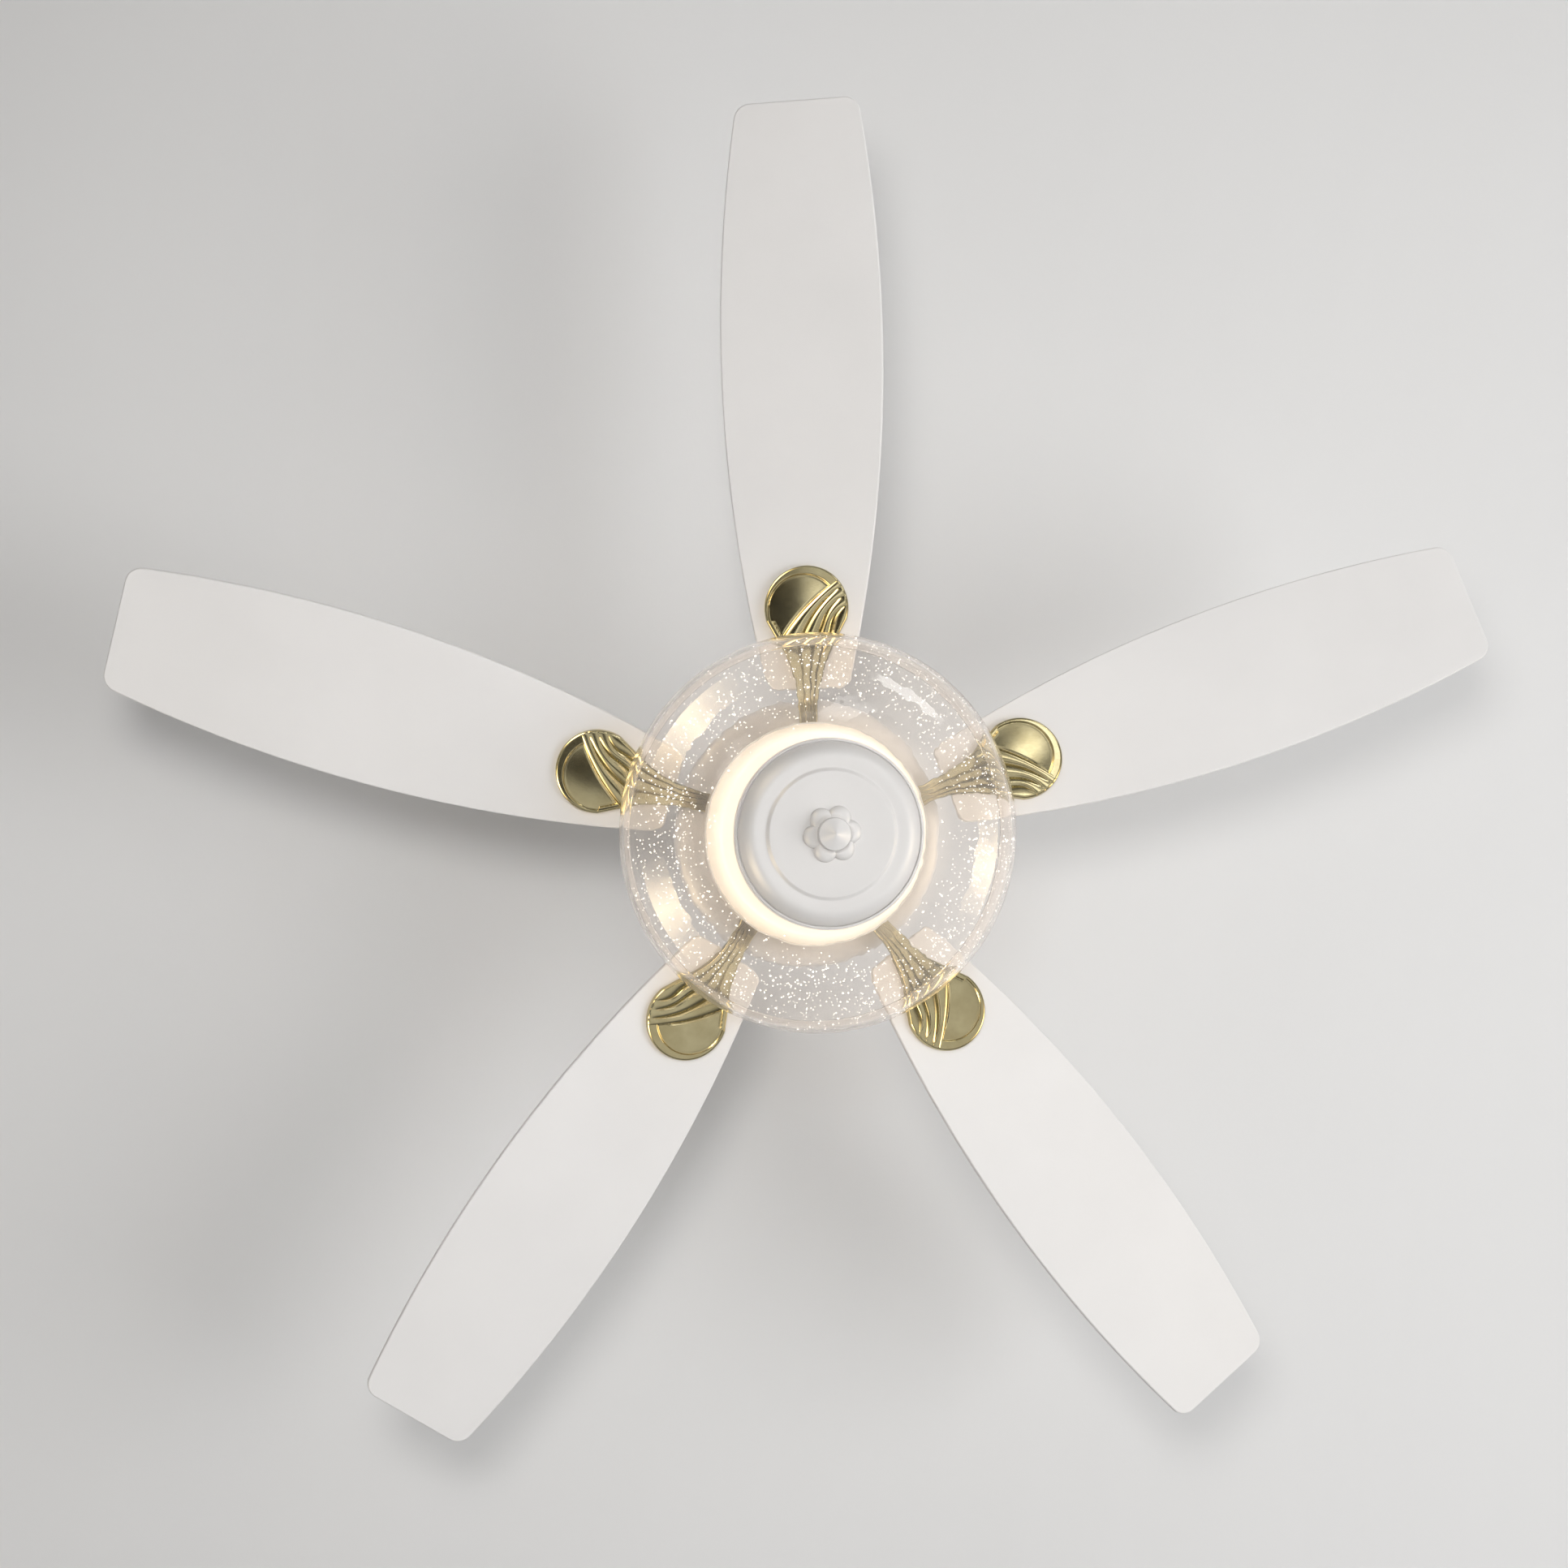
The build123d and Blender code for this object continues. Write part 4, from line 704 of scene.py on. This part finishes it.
def bowl_section(settings):
    """Closed section of the glass wall, as radius and height, with a mark for the inside."""
    bottom, rim = bowl_levels()
    widest = bottom + settings.depth
    shelf = settings.flat - settings.hole
    half = settings.wall / 2
    top = settings.radius - settings.rim_in - half
    points = []

    def sweep(radius, drop, inside, back):
        turns = np.radians(np.linspace(0, 90, ROUND_STEPS))
        wall = [(settings.flat + radius * math.sin(turn), widest - drop * math.cos(turn)) for turn in turns]
        for share in np.arange(1, RIM_STEPS + 1) / RIM_STEPS:
            wall.append((settings.flat + radius - settings.rim_in * share ** 2,
                         widest + (rim - widest - RIM_ROUND) * share))
        points.extend((r, z, inside) for r, z in (reversed(wall) if back else wall))

    for step in range(SHELF_STEPS):
        points.append((settings.hole + shelf * step / SHELF_STEPS, bottom, 0.0))
    sweep(settings.radius - settings.flat, settings.depth, 0.0, False)
    for turn in np.radians(np.linspace(20, 160, 7)):
        points.append((top + half * math.cos(turn), rim - RIM_ROUND + RIM_ROUND * math.sin(turn), 0.0))
    sweep(settings.radius - settings.flat - settings.wall, settings.depth - settings.wall, 1.0, True)
    for step in range(1, SHELF_STEPS + 1):
        points.append((settings.flat - shelf * step / SHELF_STEPS, bottom + settings.wall, 0.0))
    return points


class FAN_OT_glass_bowl(bpy.types.Operator):
    """Spins the glass bowl from its wall section and waves its inside"""
    bl_idname = "fan.glass_bowl"
    bl_label = "Glass bowl"

    def execute(self, context):
        settings = context.scene.fan_glass
        section = bowl_section(settings)
        bowl = spun("seeded_glass_bowl", [(radius, height) for radius, height, _ in section], settings.steps)
        inner = bowl.vertex_groups.new(name="inside")
        places = corners(bowl.data) / MM
        lined = np.array([(radius, height) for radius, height, inside in section if inside])
        radii = np.hypot(places[:, 0], places[:, 1])
        for index, (radius, height) in enumerate(zip(radii, places[:, 2])):
            if radius < WAVE_REACH and np.min(np.hypot(lined[:, 0] - radius, lined[:, 1] - height)) < 0.02:
                inner.add([index], float(ease((WAVE_REACH - radius) / WAVE_EASE)), "REPLACE")
        waves = bpy.data.textures.new("glass_waves", "CLOUDS")
        waves.noise_scale = 0.03
        waves.noise_depth = 1
        swell = bowl.modifiers.new("waves", "DISPLACE")
        swell.texture = waves
        swell.texture_coords = "LOCAL"
        swell.strength = settings.wave * MM
        swell.vertex_group = "inside"
        bpy.ops.object.modifier_apply(modifier="waves")
        smooth(bowl, 50)
        dress(bowl, glass_finish(settings))
        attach(bowl, "hanger")
        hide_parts("glass_bowl")
        return {"FINISHED"}


class FAN_OT_glass_seeds(bpy.types.Operator):
    """Scatters small bubbles through the glass wall"""
    bl_idname = "fan.glass_seeds"
    bl_label = "Glass seeds"

    def execute(self, context):
        settings = context.scene.fan_glass
        bottom, _ = bowl_levels()
        widest = bottom + settings.depth
        reach = settings.radius - settings.flat - settings.wall / 2
        drop = settings.depth - settings.wall / 2
        clear_selection()
        bpy.ops.mesh.primitive_uv_sphere_add(segments=6, ring_count=5, radius=1.0)
        seeds = named("glass_seeds")
        ball = corners(seeds.data)
        faces = [tuple(face.vertices) for face in seeds.data.polygons]
        dice = random.Random(11)
        points = []
        loops = []
        while len(points) < settings.seeds:
            turn = math.radians(dice.uniform(0, 360))
            lean = math.radians(dice.triangular(6, 80, 34))
            radius = settings.flat + reach * math.sin(lean)
            height = widest - drop * math.cos(lean)
            if dice.random() > radius / settings.radius:
                continue
            size = min(1.1, 0.38 + dice.expovariate(6.5))
            middle = np.array([radius * math.cos(turn), radius * math.sin(turn), height])
            stretch = np.array([1.0, 1.0, dice.uniform(0.8, 1.1)])
            loops.extend(tuple(index + len(points) * len(ball) for index in face) for face in faces)
            points.append(ball * size * stretch + middle)
        seeds.data.clear_geometry()
        seeds.data.from_pydata((np.concatenate(points) * MM).tolist(), [], loops)
        seeds.data.update()
        smooth(seeds, 80)
        dress(seeds, seed_finish())
        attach(seeds, "hanger")
        return {"FINISHED"}


# Cap and finial

CAP_BORE = 5.3
CAP_LIP = 3.0
CAP_EDGE_RISE = 0.8
CAP_FLANGE = 74.0
CAP_INSIDE = 71.0


def cap_section(settings):
    """Closed section of the pressed cap: rolled edge, groove, slope, valley and raised disc."""
    low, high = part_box("bowl_cap")
    bottom, top, radius = low[2] / MM, high[2] / MM, high[0] / MM
    edge = radius - settings.bead - settings.groove
    lip = top - CAP_LIP
    valley = bottom + settings.disc_step
    crest = valley - settings.valley_rise

    def face(place):
        if place > settings.crest:
            slope = (place - settings.crest) / (edge - settings.crest)
            return crest + (lip - CAP_EDGE_RISE - crest) * slope ** 2.1
        if place > settings.valley:
            slope = (settings.crest - place) / (settings.crest - settings.valley)
            return crest + settings.valley_rise * float(ease(slope))
        slope = (settings.valley - place) / (settings.valley - settings.disc)
        return valley - settings.disc_step * float(ease(slope))

    inward = [*np.linspace(edge, settings.crest, 25), *np.linspace(settings.crest, settings.valley, 15)[1:],
              *np.linspace(settings.valley, settings.disc, 19)[1:], 40.0, 26.0, 14.0, CAP_BORE]
    half = settings.bead / 2
    section = [(radius - half + half * math.cos(a), lip + half * 0.9 - half * 0.9 * math.sin(a))
               for a in np.linspace(0, math.pi, 9)]
    section += [(radius - settings.bead, lip + settings.groove_depth), (edge, lip + settings.groove_depth)]
    section += [(place, face(place)) for place in inward]
    section += [(place, face(place) + settings.sheet) for place in reversed(inward) if place < CAP_INSIDE]
    section += [(CAP_FLANGE, lip + 0.6), (CAP_FLANGE, top), (radius, top)]
    return section


class FAN_OT_bowl_cap(bpy.types.Operator):
    """Spins the pressed cap below the bowl"""
    bl_idname = "fan.bowl_cap"
    bl_label = "Bowl cap"

    def execute(self, context):
        settings = context.scene.fan_cap
        cap = spun("pressed_bowl_cap", cap_section(settings), settings.steps)
        smooth(cap, 42)
        dress(cap, enamel_finish("cap_enamel", context.scene.fan_colours.enamel))
        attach(cap, "hanger")
        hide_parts("bowl_cap")
        return {"FINISHED"}


def flower_outline(settings, turn):
    """Outline of the petals round the axis."""
    share = 2 * math.pi / settings.petals
    off = (turn - math.radians(settings.first) + share / 2) % share - share / 2
    return settings.pitch * np.cos(off) + np.sqrt(settings.petal ** 2 - (settings.pitch * np.sin(off)) ** 2)


def petal_height(settings, radius, turn):
    """Height of the petals: a long rounded fall to the outline and a shallow dip beside the button."""
    edge = np.clip((flower_outline(settings, turn) - radius) / settings.petal_fall, 0, 1)
    height = settings.petal_height * np.sqrt(1 - (1 - edge) ** 2)
    return height - settings.dip * ease((settings.button + settings.dip_width - radius) / settings.dip_width)


FIRST_FLANK = 4


class FAN_OT_flower_finial(bpy.types.Operator):
    """Wraps a grid into the flower nut and shapes its petals and button"""
    bl_idname = "fan.flower_finial"
    bl_label = "Flower finial"

    def execute(self, context):
        settings = context.scene.fan_finial
        low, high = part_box("flower_finial")
        bottom, top = low[2] / MM, high[2] / MM
        flanks = np.sin(np.linspace(0, math.pi / 2, 33))
        arcs = np.linspace(0, 1, 29)
        first_arc = FIRST_FLANK + len(flanks)
        rows = first_arc + len(arcs)
        clear_selection()
        bpy.ops.mesh.primitive_grid_add(x_subdivisions=rows, y_subdivisions=settings.around, size=2.0)
        finial = named("petal_finial")
        grid = corners(finial.data)
        row = np.rint((grid[:, 0] + 1) / 2 * rows).astype(int)
        step = 2 * math.pi / settings.around
        turn = np.rint((grid[:, 1] + 1) / 2 * settings.around) % settings.around * step
        outline = flower_outline(settings, turn)
        bore = np.full_like(turn, settings.bore)
        bore_end = np.full_like(turn, top - settings.bore_depth)
        seat = np.full_like(turn, top)
        first = np.minimum(row, FIRST_FLANK - 1)
        radius = np.choose(first, [np.zeros_like(turn), bore, bore, outline])
        height = np.choose(first, [bore_end, bore_end, seat, seat])
        flank = (row >= FIRST_FLANK) & (row < first_arc)
        inward = 1 - np.sqrt(1 - flanks[np.clip(row - FIRST_FLANK, 0, len(flanks) - 1)] ** 2)
        petals = outline * (1 - inward) + settings.button * inward
        radius = np.where(flank, petals, radius)
        height = np.where(flank, top - petal_height(settings, petals, turn), height)
        arc = arcs[np.clip(row - first_arc, 0, len(arcs) - 1)]
        shoulder = top - settings.shoulder
        button = settings.button * (1 - arc) ** 1.15
        fall = np.where(arc < 0.02, 0.0, 0.12 + 0.88 * arc ** 1.05) - 0.05 * np.exp(-((1 - arc) / 0.08) ** 2)
        radius = np.where(row >= first_arc, button, radius)
        height = np.where(row >= first_arc, shoulder + (bottom - shoulder) * fall / 0.95, height)
        place_corners(finial.data, np.stack([radius * np.cos(turn), radius * np.sin(turn), height], 1) * MM)
        clean_up()
        smooth(finial, 42)
        dress(finial, enamel_finish("finial_enamel", context.scene.fan_colours.enamel))
        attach(finial, "finial")
        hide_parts("flower_finial")
        return {"FINISHED"}


# Carried-over nodes

class FAN_OT_finishes(bpy.types.Operator):
    """Gives every carried-over node its finish"""
    bl_idname = "fan.finishes"
    bl_label = "Finishes"

    def execute(self, context):
        colours = context.scene.fan_colours
        made = {
            "steel_zinc": zinc_finish(),
            "white_metal": enamel_finish("white_enamel", colours.enamel),
            "screw_steel": plated_finish("screw_plate", (0.52, 0.52, 0.53), (0.68, 0.68, 0.68), 0.3),
            "bearing_steel": plated_finish("bearing_steel", (0.66, 0.66, 0.67), (0.78, 0.78, 0.78), 0.14),
            "satin_brass": brass_finish(context.scene.fan_irons),
            "ball_plastic": moulded_finish("black_nylon", (0.02, 0.02, 0.02), (0.045, 0.045, 0.045), 0.42),
            "receiver_plastic": moulded_finish("receiver_plastic", (0.60, 0.60, 0.57), (0.66, 0.66, 0.63)),
            "wire_cover": moulded_finish("wire_cover", (0.03, 0.03, 0.03), (0.06, 0.06, 0.06), 0.5),
            "cast_zinc": cast_finish("cast_zinc", (0.48, 0.48, 0.49), (0.62, 0.62, 0.62)),
            "rotor_alloy": cast_finish("rotor_alloy", (0.60, 0.60, 0.59), (0.74, 0.74, 0.73)),
            "core_iron": core_finish(),
            "copper_wire": winding_finish(),
            "fibre": moulded_finish("red_fibre", (0.20, 0.075, 0.045), (0.28, 0.11, 0.065), 0.7),
            "blade_white": lacquer_finish(colours.blade),
            "board_white": moulded_finish("board_mask", (0.80, 0.80, 0.78), (0.86, 0.86, 0.84), 0.35),
            "chip_yellow": chip_finish(),
            "diffuser_white": diffuser_finish(colours),
            "seeded_glass": glass_finish(context.scene.fan_glass),
            "gasket_white": moulded_finish("gasket_silicone", (0.78, 0.75, 0.72), (0.84, 0.81, 0.78), 0.45),
        }
        for part in frame["record"]["subparts"]:
            for place in frame["nodes"][part["node"]].material_slots:
                place.material = made[part["material_slot"]]
        return {"FINISHED"}


# Stage

def soft_lamp(name, place, aim, size, power, tone):
    bpy.ops.object.light_add(type="AREA", location=place)
    lamp = bpy.context.active_object
    lamp.name = name
    lamp.data.shape = "DISK"
    lamp.data.size = size
    lamp.data.energy = power
    lamp.data.color = tone
    lamp.rotation_euler = (Vector(aim) - Vector(place)).to_track_quat("-Z", "Y").to_euler()
    lamp.visible_glossy = lamp.visible_transmission = False


WARM = (1.0, 0.80, 0.52)
DAY = (1.0, 0.99, 0.97)
SOOT = (0.05, 0.05, 0.05)
# Name, place, size, turn in degrees, tone, level, softness and fall of each card
CARDS = (
    ("card_dark_left", (1.13, 0.42, -2.40), (1.30, 1.60), (0.0, 0.0, 0.0), DAY, 0.03, 0.2),
    ("card_light_left", (0.39, 0.44, -2.38), (0.34, 1.00), (0.0, 0.0, 0.0), DAY, 1.7, 0.3),
    ("card_dark_top", (-0.26, 0.93, -2.40), (1.70, 1.00), (0.0, 0.0, 0.0), DAY, 0.06, 0.2),
    ("card_light_top", (-0.52, 1.02, -2.38), (0.30, 1.10), (0.0, 0.0, 40.0), DAY, 3.0, 0.5),
    ("card_dark_low", (0.43, -0.70, -2.40), (1.40, 0.52), (0.0, 0.0, 20.0), DAY, 0.03, 0.25),
    ("card_wall_left", (1.50, 1.55, -1.25), (2.90, 1.70), (90.0, 0.0, 135.0), WARM, 14.0, 1.0, 1.6),
    ("card_wall_low", (1.85, -0.95, -1.25), (2.30, 1.60), (90.0, 0.0, 63.0), WARM, 16.0, 1.0, 1.6),
    ("card_wall_right", (-2.10, -0.40, -1.20), (2.00, 1.20), (90.0, 0.0, 281.0), WARM, 12.0, 1.0, 1.6),
    ("card_window", (-1.30, 1.59, -1.42), (1.50, 0.42), (90.0, 0.0, 225.0), DAY, 6.0, 0.3),
)


def flat_card(name, place, size, turn):
    """Adds a flat card with its corners at their place in the room."""
    clear_selection()
    bpy.ops.mesh.primitive_plane_add(size=1.0)
    card = named(name)
    turned = Euler([math.radians(angle) for angle in turn]).to_matrix().to_4x4()
    card.data.transform(Matrix.Translation(place) @ turned @ Matrix.Diagonal((*size, 1.0, 1.0)))
    return card


def mirror_card(name, place, size, turn, tone, level, soft, fall=1.0):
    """Adds a glowing card that only mirrors show, fading towards its edge."""
    card = flat_card(name, place, size, turn)
    glow = Finish(name)
    light = glow.node("ShaderNodeEmission")
    light.inputs["Color"].default_value = (*tone, 1.0)
    light.inputs["Strength"].default_value = level
    around = glow.node("ShaderNodeMapping")
    around.inputs["Location"].default_value = (-1.0, -1.0, 0.0)
    around.inputs["Scale"].default_value = (2.0, 2.0, 0.0)
    glow.link(glow.node("ShaderNodeTexCoord").outputs["Generated"], around.inputs["Vector"])
    ball = glow.node("ShaderNodeTexGradient", gradient_type="SPHERICAL")
    glow.link(around.outputs["Vector"], ball.inputs["Vector"])
    share = glow.node("ShaderNodeMath", operation="POWER")
    share.inputs[1].default_value = fall
    glow.link(glow.level(ball.outputs["Fac"], 0.0, 1.0, 0.0, soft), share.inputs[0])
    through = glow.node("ShaderNodeBsdfTransparent")
    glow.blend(share.outputs["Value"], through.outputs["BSDF"], light.outputs["Emission"])
    dress(card, glow.material)
    card.visible_camera = card.visible_diffuse = card.visible_shadow = card.visible_transmission = False


def dark_corner():
    """Adds an unseen dark board that keeps light from one corner of the ceiling."""
    board = flat_card("dark_corner", (1.02, 1.06, -0.62), (2.6, 1.2), (90.0, 0.0, 315.0))
    dress(board, ceiling_finish(SOOT))
    board.visible_camera = board.visible_glossy = board.visible_transmission = False


def ceiling_sheet(tone):
    clear_selection()
    bpy.ops.mesh.primitive_plane_add(size=9.0)
    ceiling = named("ceiling")
    edit()
    bpy.ops.mesh.select_all(action="SELECT")
    bpy.ops.transform.translate(value=(0.0, 0.0, 0.0004))
    bpy.ops.mesh.flip_normals()
    done()
    dress(ceiling, ceiling_finish(tone))


def room_light(settings):
    """Lights the room evenly; mirrors show it bright straight below, and the camera sees it pale."""
    world = bpy.data.worlds.new("room")
    world.use_nodes = True
    nodes = world.node_tree.nodes
    link = world.node_tree.links.new

    def mix(factor, first, second):
        made = nodes.new("ShaderNodeMixShader")
        link(factor, made.inputs["Fac"])
        link(first, made.inputs[1])
        link(second, made.inputs[2])
        return made.outputs["Shader"]

    room = nodes["Background"]
    room.inputs["Color"].default_value = (1.0, 0.99, 0.98, 1.0)
    room.inputs["Strength"].default_value = settings.room
    seen = nodes.new("ShaderNodeBackground")
    seen.inputs["Color"].default_value = (*settings.ceiling, 1.0)
    mirrored = nodes.new("ShaderNodeBackground")
    mirrored.inputs["Color"].default_value = (*DAY, 1.0)
    axes = nodes.new("ShaderNodeSeparateXYZ")
    link(nodes.new("ShaderNodeTexCoord").outputs["Generated"], axes.inputs["Vector"])
    fall = nodes.new("ShaderNodeMapRange")
    fall.inputs["From Min"].default_value = -0.80
    fall.inputs["From Max"].default_value = -0.50
    fall.inputs["To Min"].default_value = settings.mirror
    fall.inputs["To Max"].default_value = settings.mirror * 0.22
    link(axes.outputs["Z"], fall.inputs["Value"])
    link(fall.outputs["Result"], mirrored.inputs["Strength"])

    path = nodes.new("ShaderNodeLightPath")
    open_view = nodes.new("ShaderNodeMath")
    open_view.operation = "MAXIMUM"
    link(path.outputs["Is Camera Ray"], open_view.inputs[0])
    link(path.outputs["Is Transmission Ray"], open_view.inputs[1])
    first_sight = nodes.new("ShaderNodeMath")
    first_sight.operation = "SUBTRACT"
    first_sight.use_clamp = True
    first_sight.inputs[0].default_value = 1.0
    link(path.outputs["Diffuse Depth"], first_sight.inputs[1])
    link(first_sight.outputs["Value"], seen.inputs["Strength"])
    lit = mix(path.outputs["Is Glossy Ray"], room.outputs["Background"], mirrored.outputs["Background"])
    whole = mix(open_view.outputs["Value"], lit, seen.outputs["Background"])
    link(whole, nodes["World Output"].inputs["Surface"])
    return world


def photo_camera(settings):
    bpy.ops.object.camera_add(
        location=settings.camera_place, rotation=[math.radians(turn) for turn in settings.camera_turn])
    camera = bpy.context.active_object
    camera.name = "photo_camera"
    camera.data.sensor_width = 36.0
    camera.data.lens = settings.lens
    camera.data.shift_x, camera.data.shift_y = settings.camera_shift
    return camera


class FAN_OT_stage(bpy.types.Operator):
    """Adds the ceiling, the lamps, the room light and the camera"""
    bl_idname = "fan.stage"
    bl_label = "Stage"

    def execute(self, context):
        settings = context.scene.fan_stage
        ceiling_sheet(settings.ceiling)
        soft_lamp("key_lamp", (0.42, 0.38, -2.3), (0.0, 0.0, -0.2), 0.5, settings.key, (1.0, 0.98, 0.96))
        soft_lamp("window_lamp", (-2.6, -0.5, -2.6), (0.1, 0.0, -0.1), 2.4, settings.side, (0.97, 0.98, 1.0))
        for card in CARDS:
            mirror_card(*card)
        dark_corner()
        context.scene.world = room_light(settings)
        context.scene.camera = photo_camera(settings)
        context.scene.view_settings.view_transform = "Standard"
        return {"FINISHED"}


class FAN_PT_sidebar(bpy.types.Panel):
    """Lists the fan's pieces and settings"""
    bl_idname = "FAN_PT_sidebar"
    bl_label = "Ceiling fan"
    bl_space_type = "VIEW_3D"
    bl_region_type = "UI"
    bl_category = "Ceiling fan"

    def draw(self, context):
        for operator in OPERATORS:
            self.layout.operator(operator.bl_idname)
        for store in STORES:
            group = getattr(context.scene, store)
            for key in group.bl_rna.properties.keys():
                if key not in ("rna_type", "name"):
                    self.layout.prop(group, key)


STORES = {
    "fan_irons": FanIronSettings,
    "fan_glass": FanGlassSettings,
    "fan_cap": FanCapSettings,
    "fan_finial": FanFinialSettings,
    "fan_colours": FanColourSettings,
    "fan_stage": FanStageSettings,
}
OPERATORS = (FAN_OT_finishes, FAN_OT_blade_irons, FAN_OT_glass_bowl, FAN_OT_glass_seeds, FAN_OT_bowl_cap,
             FAN_OT_flower_finial, FAN_OT_stage)


def register():
    for kind in (*STORES.values(), *OPERATORS, FAN_PT_sidebar):
        bpy.utils.register_class(kind)
    for store, kind in STORES.items():
        setattr(bpy.types.Scene, store, PointerProperty(type=kind))


def unregister():
    for store in STORES:
        delattr(bpy.types.Scene, store)
    for kind in (FAN_PT_sidebar, *reversed(OPERATORS), *STORES.values()):
        bpy.utils.unregister_class(kind)


def main():
    register()
    bpy.ops.fan.finishes()
    bpy.ops.fan.blade_irons()
    bpy.ops.fan.glass_bowl()
    bpy.ops.fan.glass_seeds()
    bpy.ops.fan.bowl_cap()
    bpy.ops.fan.flower_finial()
    bpy.ops.fan.stage()


if __name__ == "__main__":
    main()
